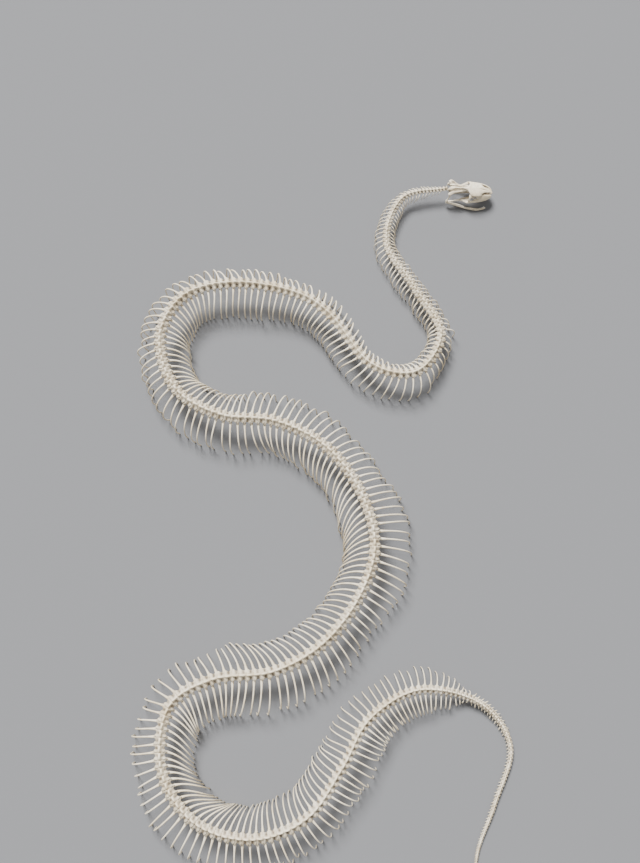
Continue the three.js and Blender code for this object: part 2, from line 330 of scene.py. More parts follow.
class Value:
    """One socket of a material's nodes, so that sums on it add Math nodes."""

    def __init__(self, paint: "Paint", socket: bpy.types.NodeSocket) -> None:
        """Wraps a socket of the paint's node tree."""
        self.paint = paint
        self.socket = socket

    def _math(self, operation: str, first: Any, second: Any) -> "Value":
        """Adds one Math node and returns its result."""
        node = self.paint.node(
            "ShaderNodeMath", {"operation": operation}, {0: first, 1: second}
        )
        return Value(self.paint, node.outputs[0])

    def __add__(self, other: Any) -> "Value":
        """Adds a number or a value."""
        return self._math("ADD", self, other)

    __radd__ = __add__

    def __sub__(self, other: Any) -> "Value":
        """Takes a number or a value away."""
        return self._math("SUBTRACT", self, other)

    def __rsub__(self, other: Any) -> "Value":
        """Takes this value away from a number."""
        return self._math("SUBTRACT", other, self)

    def __mul__(self, other: Any) -> "Value":
        """Multiplies by a number or a value."""
        return self._math("MULTIPLY", self, other)

    def absolute(self) -> "Value":
        """Drops the sign."""
        return self._math("ABSOLUTE", self, 0.0)

    def limited(self) -> "Value":
        """Keeps the value between 0 and 1."""
        return self._math("MINIMUM", self._math("MAXIMUM", self, 0.0), 1.0)


class Paint:
    """A material's node tree, with one method that adds any node."""

    def __init__(self, name: str) -> None:
        """Starts a material of that name with its shader and output."""
        self.material = bpy.data.materials.new(name)
        self.material.use_nodes = True
        self.tree = self.material.node_tree
        self.shader = self.tree.nodes["Principled BSDF"]

    def node(
        self, kind: str, settings: dict[str, Any], inputs: dict[Any, Any]
    ) -> bpy.types.Node:
        """Adds a node.

        Args:
            kind: the node's type name.
            settings: properties set first; a list under "stops" fills a colour ramp.
            inputs: sockets by name or number, each with a number, colour or Value.

        Returns:
            The node.
        """
        node = self.tree.nodes.new(kind)
        for name, setting in settings.items():
            if name == "stops":
                self._fill_ramp(node.color_ramp, setting)
            else:
                setattr(node, name, setting)
        for name, given in inputs.items():
            if isinstance(given, Value):
                self.tree.links.new(given.socket, node.inputs[name])
            else:
                node.inputs[name].default_value = given
        return node

    @staticmethod
    def _fill_ramp(ramp: bpy.types.ColorRamp, stops: Stops) -> None:
        """Sets a ramp's stops from rows of place and grey level."""
        while len(ramp.elements) < len(stops):
            ramp.elements.new(0.5)
        for element, (place, grey) in zip(ramp.elements, stops):
            element.position = place
            element.color = (grey, grey, grey, 1.0)

    def value(
        self, kind: str, settings: dict[str, Any], inputs: dict[Any, Any], output: Any = 0
    ) -> Value:
        """Adds a node and returns one of its outputs."""
        return Value(self, self.node(kind, settings, inputs).outputs[output])

    def attribute(self, name: str) -> Value:
        """Reads a mesh attribute as a number."""
        return self.value("ShaderNodeAttribute", {"attribute_name": name}, {}, "Fac")

    def place(self) -> Value:
        """The point in the object's own frame, in metres."""
        return self.value("ShaderNodeTexCoord", {}, {}, "Object")

    def noise(self, place: Value, scale: float, detail: float, roughness: float = 0.5) -> Value:
        """Soft noise from 0 to 1, with scale in features for each metre."""
        return self.value(
            "ShaderNodeTexNoise",
            {},
            {"Vector": place, "Scale": scale, "Detail": detail, "Roughness": roughness},
            "Fac",
        )

    def mix(self, share: Any, low: Any, high: Any) -> Value:
        """Blends two colours."""
        node = self.node(
            "ShaderNodeMix",
            {"data_type": "RGBA", "clamp_factor": True},
            {0: share, 6: low, 7: high},
        )
        return Value(self, node.outputs[2])

    def ramp(self, value: Value, stops: Stops) -> Value:
        """Bends a value by a ramp of place and grey level."""
        return self.value("ShaderNodeValToRGB", {"stops": stops}, {"Fac": value}, "Color")

    def shade(self, **inputs: Any) -> None:
        """Sets or links the shader's own sockets, named with underscores for spaces."""
        for name, given in inputs.items():
            socket = self.shader.inputs[name.replace("_", " ")]
            if isinstance(given, Value):
                self.tree.links.new(given.socket, socket)
            else:
                socket.default_value = given


class Finish:
    """A finish that makes its material once."""

    name: str

    def material(self) -> bpy.types.Material:
        """Returns the finish's material, made at its first use."""
        made = bpy.data.materials.get(self.name)
        if made is None:
            paint = Paint(self.name)
            self.dress(paint)
            made = paint.material
        return made

    def dress(self, paint: Paint) -> None:
        """Adds the finish's nodes to a new material."""
        raise NotImplementedError


@dataclass(frozen=True)
class BoneFinish(Finish):
    """Dry, degreased bone: ivory, yellower in broad patches, with a fine grain and small pores,
    and darkened grey-brown in its recesses, partly as painted shade and partly as the
    bone's own staining."""

    name: str = "bone"
    ivory: Colour = (0.87, 0.785, 0.62, 1.0)
    cream: Colour = (0.67, 0.55, 0.365, 1.0)
    # dark grey-brown used for painted shade in recesses, and for the pores and sutures
    recess: Colour = (0.15, 0.115, 0.075, 1.0)
    patch_scale: float = 22.0
    mottle_scale: float = 150.0
    grain_scale: float = 1100.0
    pore_scale: float = 900.0
    # how strongly and how blotchily recesses are painted with shade
    recess_shade_strength: float = 1.3
    recess_mottle: tuple[float, float] = (2.0, 0.05)
    yellow_weights: tuple[float, float, float] = (1.6, 1.6, 0.6)
    yellow_threshold: float = 1.45
    pore_stops: Stops = ((0.0, 1.0), (0.16, 0.55), (0.24, 0.0))
    pore_darkness: float = 0.22
    relief_weights: tuple[float, float, float] = (0.45, 0.35, 0.3)
    relief_depth: float = 0.0006
    roughness: float = 0.46
    grain_roughness: float = 0.16
    recess_roughness: float = 0.15
    bump: float = 0.35

    def dress(self, paint: Paint) -> None:
        """Builds the bone's colour, with painted shade in its recesses, and its roughness and bump
        from noise and the attributes.
        """
        place = paint.place()
        patches = paint.noise(place, self.patch_scale, 3.0)
        mottle = paint.noise(place, self.mottle_scale, 4.0, 0.6)
        grain = paint.noise(place, self.grain_scale, 5.0, 0.65)
        cells = paint.value(
            "ShaderNodeTexVoronoi", {}, {"Vector": place, "Scale": self.pore_scale}, "Distance"
        )
        pores = paint.ramp(cells, self.pore_stops)
        hollow, tone = paint.attribute("hollow"), paint.attribute("tone")
        by_patch, by_mottle, by_tone = self.yellow_weights
        yellow = patches * by_patch + mottle * by_mottle + tone * by_tone
        yellow = (yellow - self.yellow_threshold).limited()
        # painted shade: recesses darken towards the recess colour in blotches, partly shade and
        # partly the bone's own brown staining
        by_mottle, threshold = self.recess_mottle
        deep = (hollow * (mottle * by_mottle - threshold) * self.recess_shade_strength).limited()
        colour = paint.mix(yellow, self.ivory, self.cream)
        colour = paint.mix(deep, colour, self.recess)
        # dark specks in the pores, mottled, and deeper in recesses as painted shade
        speck = (pores * self.pore_darkness * (mottle + hollow)).limited()
        colour = paint.mix(speck, colour, self.recess)
        by_grain, by_mottle, by_pore = self.relief_weights
        relief = grain * by_grain + mottle * by_mottle - pores * by_pore
        colour, relief = self.sutured(paint, place, colour, relief)
        rough = self.roughness + grain * self.grain_roughness + hollow * self.recess_roughness
        bump = {"Strength": self.bump, "Distance": self.relief_depth, "Height": relief}
        paint.shade(
            Base_Color=colour,
            Roughness=rough.limited(),
            Normal=paint.value("ShaderNodeBump", {}, bump, "Normal"),
        )

    def sutured(
        self, paint: Paint, place: Value, colour: Value, relief: Value
    ) -> tuple[Value, Value]:
        """Adds sutures to the colour and relief; plain bone has none."""
        return colour, relief


@dataclass(frozen=True)
class SkullFinish(BoneFinish):
    """Bone with the wavy sutures of the skull's roof, drawn in the skull's own frame.

    A suture is dark where a point's distance from its curve, shifted by fine noise, is
    under its half width: the middle line, the arc behind the frontals and the slanting
    lines in front of them. Places are in metres; a span is where a suture begins and ends,
    forward for the middle line and outward for the others.
    """

    name: str = "skull"
    half_width: float = 0.00022
    waviness: float = 0.0016
    wave_scale: float = 700.0
    middle_span: tuple[float, float] = (0.0345, 0.0660)
    arc_at: float = 0.0340
    arc_bend: float = 32.0
    arc_span: tuple[float, float] = (-1.0, 0.0108)
    slant_at: float = 0.0468
    slant_slope: float = 0.3
    slant_span: tuple[float, float] = (0.0026, 0.0128)
    lowest: float = 0.0025
    darkness: float = 0.6
    depth: float = 0.9
    cloud_scale: float = 210.0
    cloud_threshold: float = 0.46
    cloud_contrast: float = 3.2
    cloud_darkness: float = 0.34
    stain: Colour = (0.33, 0.27, 0.19, 1.0)

    def sutured(
        self, paint: Paint, place: Value, colour: Value, relief: Value
    ) -> tuple[Value, Value]:
        """Darkens and sinks the three kinds of suture, and stains the bone in soft clouds.

        Args:
            paint: the material's node tree.
            place: the point, in metres.
            colour: the plain bone's colour there.
            relief: the plain bone's relief there.

        Returns:
            The colour and the relief with sutures.
        """
        frame = {
            "Vector": place,
            "Location": [value * METRES_PER_MM for value in SKULL_AT],
            "Rotation": (0.0, 0.0, math.radians(SKULL_YAW_DEG)),
        }
        local = paint.value("ShaderNodeMapping", {"vector_type": "TEXTURE"}, frame)
        split = paint.node("ShaderNodeSeparateXYZ", {}, {0: local})
        x, y, z = (Value(paint, output) for output in split.outputs)
        wave = (paint.noise(place, self.wave_scale, 3.0, 0.7) - 0.5) * self.waviness
        aside = y.absolute()

        def line(distance: Value) -> Value:
            """Fades from 1 on the curve to 0 at the half width."""
            return (1.0 - distance.absolute() * (1 / self.half_width)).limited()

        def between(value: Value, low: float, high: float) -> Value:
            """Is 1 between two places, with ramps half a millimetre long."""
            return ((value - low) * 2000.0).limited() * ((high - value) * 2000.0).limited()

        middle = line(y + wave) * between(x, *self.middle_span)
        arc = line(x - self.arc_at - y * y * self.arc_bend + wave)
        arc = arc * between(aside, *self.arc_span)
        slant = line(x - self.slant_at + aside * self.slant_slope + wave)
        slant = slant * between(aside, *self.slant_span)
        above = ((z - self.lowest) * 1000.0).limited()
        lines = (middle + arc + slant).limited() * above
        clouds = paint.noise(place, self.cloud_scale, 3.0, 0.62) - self.cloud_threshold
        cloudy = (clouds * self.cloud_contrast).limited() * self.cloud_darkness
        colour = paint.mix(cloudy, colour, self.stain)
        return paint.mix(lines * self.darkness, colour, self.recess), relief - lines * self.depth


@dataclass(frozen=True)
class ToothFinish(Finish):
    """Enamel: paler and glossier than bone, yellower towards the root."""

    name: str = "tooth"
    grain_scale: float = 900.0
    crown: Colour = (0.84, 0.81, 0.73, 1.0)
    root: Colour = (0.62, 0.54, 0.40, 1.0)
    roughness: float = 0.22

    def dress(self, paint: Paint) -> None:
        """Grades the tooth from its root to its crown."""
        place = paint.place()
        grain = paint.noise(place, self.grain_scale, 3.0)
        root = (paint.attribute("hollow") * (0.7 + grain * 0.6)).limited()
        paint.shade(
            Base_Color=paint.mix(root, self.crown, self.root),
            Roughness=self.roughness + grain * 0.2,
        )


@dataclass(frozen=True)
class FloorFinish(Finish):
    """The studio's plain floor."""

    name: str = "floor"
    colour: Colour = (0.16, 0.162, 0.168, 1.0)
    roughness: float = 0.9

    def dress(self, paint: Paint) -> None:
        """One plain, matte colour."""
        paint.shade(Base_Color=self.colour, Roughness=self.roughness)


# --- the spine's course


@dataclass
class SpineCourse:
    """Where the spine runs: its plan, its height and the sizes that change along it."""

    plan: Stops = (
        (206, 405), (133, 388), (106, 311), (148, 234), (187, 158), (148, 95), (77, 107),
        (15, 185), (-41, 220), (-133, 235), (-210, 214), (-245, 148), (-219, 67), (-151, 26),
        (-68, 16), (5, -20), (57, -85), (80, -166), (58, -240), (6, -307), (-66, -347),
        (-152, -358), (-213, -396), (-220, -480), (-173, -547), (-93, -569), (-18, -542),
        (31, -477), (71, -411), (145, -373), (233, -395), (274, -456), (248, -534),
        (220, -606), (222, -686),
    )
    footprint_centre: tuple[float, float] = (-5.6, -132.9)
    samples: int = 12000
    half_chord: float = 1.0
    height: Stops = (
        (0, 22), (100, 21), (250, 27), (450, 38), (700, 43), (2250, 42), (2400, 31),
        (2470, 15), (2540, 6.6), (2600, 4.8), (2800, 2),
    )
    pitch: Stops = (
        (0, 5.4), (100, 6.6), (250, 8), (450, 9.7), (700, 10.3), (1600, 10.4),
        (2200, 9.6), (2400, 8.4), (2470, 5.9), (2600, 5), (2800, 2.6),
    )
    half_width: Stops = (
        (0, 4.2), (100, 6.2), (300, 8.6), (700, 10), (1900, 10), (2300, 8.5),
        (2470, 6.8), (2600, 4.8), (2800, 2),
    )
    trunk_end: float = 2466.0
    neck_end: float = 215.0
    trunk_lengths: int = 12
    tail_lengths: int = 3
    _line: np.ndarray = field(init=False)
    _along: np.ndarray = field(init=False)

    def __post_init__(self) -> None:
        """Lists the plan curve densely, with the distance run at each point."""
        rows = np.asarray(self.plan, float) - np.asarray(self.footprint_centre)
        self._line = resampled(rows, self.samples)
        steps = np.linalg.norm(np.diff(self._line, axis=0), axis=1)
        self._along = np.r_[0.0, np.cumsum(steps)]

    @property
    def length(self) -> float:
        """The spine's whole length in plan."""
        return float(self._along[-1])

    @property
    def widest(self) -> float:
        """The largest half width of a vertebra."""
        return max(width for _, width in self.half_width)

    def frame(self, distance: np.ndarray) -> Frame:
        """Finds the spine's place and directions.

        Args:
            distance: distances along the spine.

        Returns:
            The points, and level unit vectors towards the tail and to the animal's right.
        """
        where = np.asarray(distance, float)

        def level(at: np.ndarray) -> np.ndarray:
            """Reads the plan curve at distances."""
            return np.stack([np.interp(at, self._along, self._line[:, i]) for i in (0, 1)], -1)

        ahead, behind = (
            level(np.clip(where + step, 0, self.length))
            for step in (-self.half_chord, self.half_chord)
        )
        back = behind - ahead
        back = unit(np.concatenate([back, np.zeros(back.shape[:-1] + (1,))], -1))
        right = np.stack([-back[..., 1], back[..., 0], np.zeros(back.shape[:-1])], -1)
        at = np.concatenate([level(where), eased(self.height, where)[..., None]], -1)
        return at, back, right

    def vertebrae(self, start: float, end: float) -> np.ndarray:
        """Lists the middles of the vertebrae between two places, a pitch apart.

        Args:
            start: where the first vertebra begins.
            end: no vertebra begins from here on.

        Returns:
            Their distances along the spine.
        """
        places, distance = [], start
        while distance < end:
            pitch = float(eased(self.pitch, distance))
            places.append(distance + pitch / 2)
            distance += pitch
        return np.array(places)

    def lengths(self) -> list[tuple[str, np.ndarray, int]]:
        """Splits the neck and trunk into their lengths, as the solids are.

        Returns:
            Each length's name, its vertebrae's places and its first vertebra's number.
        """
        places = self.vertebrae(0.0, self.trunk_end)
        step = (self.trunk_end - self.neck_end) / self.trunk_lengths
        marks = [self.neck_end + step * i for i in range(self.trunk_lengths)]
        cuts = [0, *(int(np.searchsorted(places, mark, side="right")) for mark in marks)]
        cuts.append(len(places))
        names = ["neck", *(f"trunk_{i + 1:02d}" for i in range(self.trunk_lengths))]
        return [
            (name, places[cuts[i]:cuts[i + 1]], cuts[i]) for i, name in enumerate(names)
        ]


@dataclass
class Run:
    """Neighbouring vertebrae at their places on the course, and the source of the small
    differences between them and between the bones that grow from them."""

    course: SpineCourse
    places: np.ndarray
    rng: np.random.Generator

    def read(self, stops: Stops, column: int = 1) -> np.ndarray:
        """Reads stops along the spine at each vertebra."""
        return eased(stops, self.places, column)

    @property
    def width(self) -> np.ndarray:
        """Each vertebra's half width."""
        return self.read(self.course.half_width)

    @property
    def pitch(self) -> np.ndarray:
        """How far each vertebra stands from the next."""
        return self.read(self.course.pitch)


# --- vertebrae


@dataclass(frozen=True)
class Vertebra:
    """One vertebra as a loft from front to back, in shares of its half width and pitch.

    Each row of a profile is [place along in pitches, size]. A half section runs from the
    neural spine's crest over the roof to the wing, in under it to the rib facet, and down
    the centrum to the keel. shade has a row for each of its points, the painted shade it
    gets: the amount all along, and what the waist and the mouth in front, where it meets
    the vertebra before, add to it.
    """

    stations: Sequence[float] = (-0.62, -0.52, -0.4, -0.27, -0.1, 0.12, 0.34, 0.52, 0.66)
    wing: Stops = (
        (-0.62, 0.5), (-0.52, 0.86), (-0.4, 1.02), (-0.27, 0.86), (-0.1, 0.69),
        (0.12, 0.63), (0.34, 0.78), (0.52, 0.88), (0.66, 0.5),
    )
    wing_rise: Stops = ((-0.62, 0.1), (-0.4, 0.16), (0.1, 0.14), (0.5, 0.3), (0.66, 0.26))
    roof: Stops = (
        (-0.62, 0.14), (-0.5, 0.2), (-0.32, 0.4), (0.1, 0.5), (0.5, 0.5), (0.66, 0.4),
    )
    spine: Stops = (
        (-0.62, 0.0), (-0.36, 0.0), (-0.22, 0.2), (0.0, 0.4), (0.4, 0.43),
        (0.56, 0.34), (0.66, 0.1),
    )
    facet: Stops = (
        (-0.62, 0.42), (-0.5, 0.68), (-0.34, 0.74), (-0.14, 0.5), (0.34, 0.4), (0.66, 0.28),
    )
    centrum: Stops = ((-0.62, 0.3), (-0.34, 0.38), (0.1, 0.3), (0.54, 0.24), (0.66, 0.16))
    keel: Stops = ((-0.62, 0.4), (-0.34, 0.62), (0.1, 0.72), (0.54, 0.7), (0.66, 0.5))
    shade: Stops = (
        (0.0, 0.0, 0.9), (0.0, 0.0, 0.9), (0.15, 0.35, 0.8), (0.2, 0.75, 0.5),
        (0.05, 0.75, 0.0), (0.45, 0.5, 0.0), (0.35, 0.5, 0.0), (0.45, 0.5, 0.0),
        (0.6, 0.0, 0.0),
    )
    waist_at: float = 0.06
    waist_length: float = 0.2
    mouth_at: float = -0.3
    mouth_length: float = 0.16
    blade: float = 0.09
    wing_thickness: float = 0.09
    facet_drop: float = 0.2
    centrum_drop: float = 0.42
    bulge: tuple[float, float] = (0.04, 0.1)
    width_spread: float = 0.02
    turn_spread_deg: float = 1.6

    def half_section(self, place: np.ndarray) -> np.ndarray:
        """Works out the half section's nine points from the crest to the keel.

        Args:
            place: stations along the vertebra, in pitches.

        Returns:
            Points (stations, 9, 2) as out and up.
        """
        wing, rise = eased(self.wing, place), eased(self.wing_rise, place)
        roof, spine = eased(self.roof, place), eased(self.spine, place)
        facet, centrum = eased(self.facet, place), eased(self.centrum, place)
        keel = eased(self.keel, place)
        none = np.zeros_like(wing)
        blade = none + self.blade
        rows = [
            (none, roof + spine + 0.02),
            (blade, roof + spine * 0.85),
            (blade * 2.0, roof + 0.05),
            (wing * 0.55, roof * 0.42 + rise * 0.46),
            (wing, rise + self.wing_thickness),
            (wing * 0.96, rise - self.wing_thickness),
            (facet, none - self.facet_drop),
            (centrum, none - self.centrum_drop),
            (none, -keel),
        ]
        return np.stack([np.stack(row, -1) for row in rows], 1)

    def section_hollow(self, place: np.ndarray) -> np.ndarray:
        """Says how much painted shade each point of the half section gets, by how recessed it is.

        Args:
            place: stations along the vertebra, in pitches.

        Returns:
            Painted shade from 0 to 1, (stations, 9).
        """
        waist = np.exp(-(((place - self.waist_at) / self.waist_length) ** 2))
        mouth = np.clip((self.mouth_at - place) / self.mouth_length, 0, 1)
        parts = np.stack([np.ones_like(place), waist, mouth], -1)
        return np.clip(parts @ np.transpose(self.shade), 0, 1)

    def shell(self, run: Run) -> Shell:
        """Places the vertebrae, turned with the spine.

        Args:
            run: the vertebrae to make.

        Returns:
            The vertebrae as one shell of tubes.
        """
        stations = np.asarray(self.stations, float)
        half, deep = self.half_section(stations), self.section_hollow(stations)
        section, hollow = closed(half, (-1.0, 1.0)), closed(deep)
        count = len(run.places)
        width = run.width * run.rng.normal(1.0, self.width_spread, count)
        at, back, right = run.course.frame(run.places)
        turn = run.rng.normal(0.0, math.radians(self.turn_spread_deg), count)
        cos, sin = np.cos(turn)[:, None], np.sin(turn)[:, None]
        back, right = back * cos + right * sin, right * cos - back * sin
        out, rise = (section[None, ..., i] * width[:, None, None] for i in (0, 1))
        step = stations[None, :, None] * run.pitch[:, None, None]
        rings = laid((at, back, right), out, step, rise)
        poles = rings[:, [0, -1]].mean(axis=2)
        for end, bulge in enumerate(self.bulge):
            poles[:, end] += back * (bulge * run.pitch)[:, None]
        hollow = np.broadcast_to(hollow, (count, *hollow.shape))
        return Shell(rings, poles, hollow, run.rng.uniform(*TONES, count))


# --- ribs


@dataclass
class RibCage:
    """The ribs: each leaves its facet, arches out and down, and its tip sweeps back.

    lay has rows of [distance, reach, sweep back]. With the angle a running from 0 at the
    root to the arch's end, a rib's way out is the reach times sin a and its drop goes as a
    power of 1 - cos a. Part of its sweep follows sin a, and the rest comes late, as a power
    of the share run. Ribs differ a little, and less where a bend brings their tips together.
    """

    lay: dict[Side, Stops] = field(default_factory=lambda: {
        Side.RIGHT: (
            (0, 5, 1), (60, 10, 3), (110, 14, 5), (370, 21, 5), (430, 34, 8), (510, 34, 5),
            (560, 34, 0), (650, 36, -1), (710, 43, -3), (800, 40, 6), (900, 42, 14),
            (960, 38, 25), (1040, 37, 8), (1140, 45, 7), (1220, 46, 9), (1300, 42, 13),
            (1360, 57, 6), (1450, 58, 3), (1520, 47, 5), (1600, 57, 9), (1690, 59, 12),
            (1730, 58, 6), (1765, 57, 7), (1795, 57, 15), (1825, 51, 25), (1850, 45, 29),
            (1900, 40, 27), (1945, 40, 34), (1975, 37, 29), (2040, 34, 8), (2100, 38, 2),
            (2180, 38, 10), (2250, 39, -4), (2350, 30, -3), (2400, 29, -4), (2436, 19, 0),
            (2450, 11, 1), (2466, 8, -3),
        ),
        Side.LEFT: (
            (0, 5, 1), (60, 10, 3), (110, 15, 5), (200, 20, 5), (300, 18, 5), (500, 18, 6),
            (560, 25, 11), (720, 26, 14), (800, 30, 14), (900, 35, 11), (960, 39, 11),
            (1040, 48, 9), (1090, 51, 2), (1140, 43, 17), (1220, 47, 21), (1285, 46, 27),
            (1320, 50, 38), (1350, 49, 38), (1390, 48, 27), (1425, 43, 22), (1520, 40, 16),
            (1600, 42, 16), (1690, 42, 24), (1740, 34, 6), (1810, 38, 6), (1900, 47, 0),
            (1960, 54, 1), (2100, 48, 1), (2180, 45, 0), (2250, 46, -3), (2350, 40, 1),
            (2400, 36, 2), (2436, 25, 2), (2450, 16, 3), (2466, 8, -3),
        ),
    })
    drop_share: Stops = ((0, 0.35), (120, 1), (2430, 1), (2466, 0.8))
    rings: int = 15
    sides: int = 6
    arch_deg: dict[Side, Stops] = field(default_factory=lambda: {
        Side.RIGHT: ((0, 112), (450, 106), (1000, 106), (1100, 110), (1300, 100), (2466, 100)),
        Side.LEFT: (
            (0, 120), (400, 128), (900, 128), (1060, 104), (2250, 100), (2340, 118), (2466, 118),
        ),
    })
    squareness: float = 1.7
    early_sweep: float = 0.68
    early_power: float = 1.8
    late_power: float = 2.2
    root_out: float = 0.45
    root_drop: float = 0.16
    root_ahead: float = 0.34
    radius: Stops = (
        (0, 2.0), (0.07, 2.1), (0.13, 1.5), (0.22, 1.2), (0.5, 1.08), (0.84, 0.85),
        (0.92, 0.95), (0.97, 1.35), (1, 1.1),
    )
    reach_spread: float = 1.7
    sweep_spread: float = 2.1
    arch_spread: float = 4.0
    least_spread: float = 0.35
    crowded: float = 0.15
    first: int = 2

    def shell(self, run: Run, side: Side) -> Shell:
        """Makes the ribs that grow from the run's vertebrae on one side of the animal.

        Args:
            run: the vertebrae.
            side: the animal's side.

        Returns:
            The ribs as one shell of tubes.
        """
        count, width = len(run.places), run.width
        course, normal = run.course, run.rng.normal
        lay, sign = self.lay[side], side.beside_spine
        stout = width / course.widest
        spread = np.clip(stout, self.least_spread, 1.0)
        reach, sweep = run.read(lay, 1), run.read(lay, 2)
        frame = course.frame(run.places)
        tips = laid(frame, sign * reach, sweep, np.zeros(count))
        apart = np.linalg.norm(np.gradient(tips, axis=0), axis=1)
        spread = spread * np.clip(apart / run.pitch - self.crowded, 0.0, 1.0)
        reach = reach + normal(0, self.reach_spread, count) * spread
        sweep = sweep + normal(0, self.sweep_spread, count) * spread
        arch = run.read(self.arch_deg[side]) + normal(0, self.arch_spread, count) * spread
        arch = np.radians(arch)
        share = np.linspace(0, 1, self.rings)
        angle = arch[:, None] * share
        root = self.root_out * width
        fall = run.read(course.height) * run.read(self.drop_share) - self.root_drop * width
        fall = fall - self.radius[-1][1] * stout
        out = root[:, None] + (reach - root)[:, None] * np.sin(angle)
        drop = (self.root_drop * width)[:, None] + fall[:, None] * (
            (1 - np.cos(angle)) / (1 - np.cos(arch))[:, None]
        ) ** self.squareness
        ahead = (self.root_ahead * run.pitch)[:, None] * (1 - share)
        early = np.sin(np.minimum(angle, math.pi / 2)) ** self.early_power
        late = share**self.late_power
        swept = self.early_sweep * early + (1 - self.early_sweep) * late
        lean = sweep[:, None] * swept - ahead
        path = laid(frame, sign * out, lean, -drop)
        thick = eased(self.radius, share)[None] * stout[:, None]
        return tube(path, thick, frame[1], self.sides, tone=run.rng.uniform(*TONES, count))


def tube(
    path: np.ndarray,
    radius: np.ndarray,
    guide: np.ndarray,
    sides: int,
    hollow: np.ndarray | float = 0.0,
    tone: np.ndarray | float = 0.5,
) -> Shell:
    """Carries a circle along paths: each ring stands square to its path, turned so that
    its first point leans towards the guide direction.

    Args:
        path: (tubes, rings, 3) points.
        radius: (tubes, rings) radii.
        guide: (tubes, 3) directions that aren't along the paths.
        sides: points of a ring.
        hollow: depth of recess for each ring point.
        tone: tone for each tube.

    Returns:
        The tubes, with a rounded pole at either end.
    """
    along = unit(np.gradient(path, axis=1))
    lean = unit(guide[:, None] - along * np.einsum("tri,ti->tr", along, guide)[..., None])
    other = np.cross(along, lean)
    turn = np.linspace(0, 2 * math.pi, sides, endpoint=False)
    circle = (
        lean[:, :, None] * np.cos(turn)[:, None] + other[:, :, None] * np.sin(turn)[:, None]
    )
    rings = path[:, :, None] + circle * radius[..., None, None]
    poles = path[:, [0, -1]].copy()
    poles[:, 0] -= along[:, 0] * radius[:, [0]] * TUBE_ENDS[0]
    poles[:, 1] += along[:, -1] * radius[:, [-1]] * TUBE_ENDS[1]
    return Shell(rings, poles, hollow, tone)


# --- tail


@dataclass
class TailProcesses:
    """The tail's small bony prongs: a pair at each vertebra's sides and a pair below it.

    Each row is [share of the tail, out, drop, back], the tip's place in half widths, and
    right_side says how much of the way out is left for the prongs of the right side.
    """

    sideways: Stops = (
        (0, 1.35, 0.7, 0.45), (0.16, 1.2, 0.75, 0.5), (0.27, 1.0, 0.8, 0.5),
        (0.45, 0.9, 0.8, 0.4), (1, 0.88, 0.8, 0.35),
    )
    below: Stops = ((0, 0.3, 1.1, 0.5), (0.25, 0.3, 0.95, 0.45), (1, 0.3, 0.8, 0.35))
    right_side: Stops = ((0, 1.0), (0.14, 0.95), (0.24, 0.7), (0.34, 0.5), (1, 0.5))
    root_out: float = 0.4
    root_out_below: float = 0.1
    root_drop: float = 0.12
    out_power: float = 0.85
    drop_power: float = 1.3
    aft_power: float = 1.2
    thickness: float = 0.15
    taper: tuple[float, float] = (1.25, 0.75)
    size_spread: float = 0.09
    rings: int = 5
    sides: int = 5

    def shells(self, run: Run) -> list[Shell]:
        """Makes the four prongs of each vertebra.

        Args:
            run: the vertebrae they grow from.

        Returns:
            One shell for each row of prongs.
        """
        width, course = run.width, run.course
        frame = course.frame(run.places)
        share = (run.places - course.trunk_end) / (course.length - course.trunk_end)
        t = np.linspace(0, 1, self.rings)
        thick = (self.thickness * width)[:, None] * (self.taper[0] - self.taper[1] * t)
        rows = ((self.sideways, self.root_out), (self.below, self.root_out_below))
        made = []
        for row, root_out in rows:
            for sign in (-1, 1):
                spread = run.rng.normal(1.0, self.size_spread, (3, len(width)))
                out, drop, aft = (
                    eased(row, share, column) * spread[column - 1] * width
                    for column in (1, 2, 3)
                )
                if sign > 0:
                    out = out * eased(self.right_side, share)
                drop = np.minimum(drop, frame[0][:, 2] - self.thickness * width)
                root = root_out * width[:, None]
                way = root + (out[:, None] - root) * t**self.out_power
                sink = self.root_drop * width[:, None] * (1 - t)
                sink = sink + drop[:, None] * t**self.drop_power
                path = laid(frame, sign * way, aft[:, None] * t**self.aft_power, -sink)
                guide = frame[1] if row is self.below else np.broadcast_to(UP, frame[1].shape)
                made.append(tube(path, thick, guide, self.sides))
        return made


# --- skull


def on_neck(shell: Shell) -> Shell:
    """Moves a shell to the part's frame from the skull's.

    Args:
        shell: the shell, with x forward, y to the left and z up from the neck joint.

    Returns:
        The same shell in the part's frame.
    """
    turn = math.radians(SKULL_YAW_DEG)
    cos, sin = math.cos(turn), math.sin(turn)
    matrix = np.array([[cos, -sin, 0.0], [sin, cos, 0.0], [0.0, 0.0, 1.0]])
    rings, poles = (points @ matrix.T + SKULL_AT for points in (shell.rings, shell.poles))
    return replace(shell, rings=rings, poles=poles)


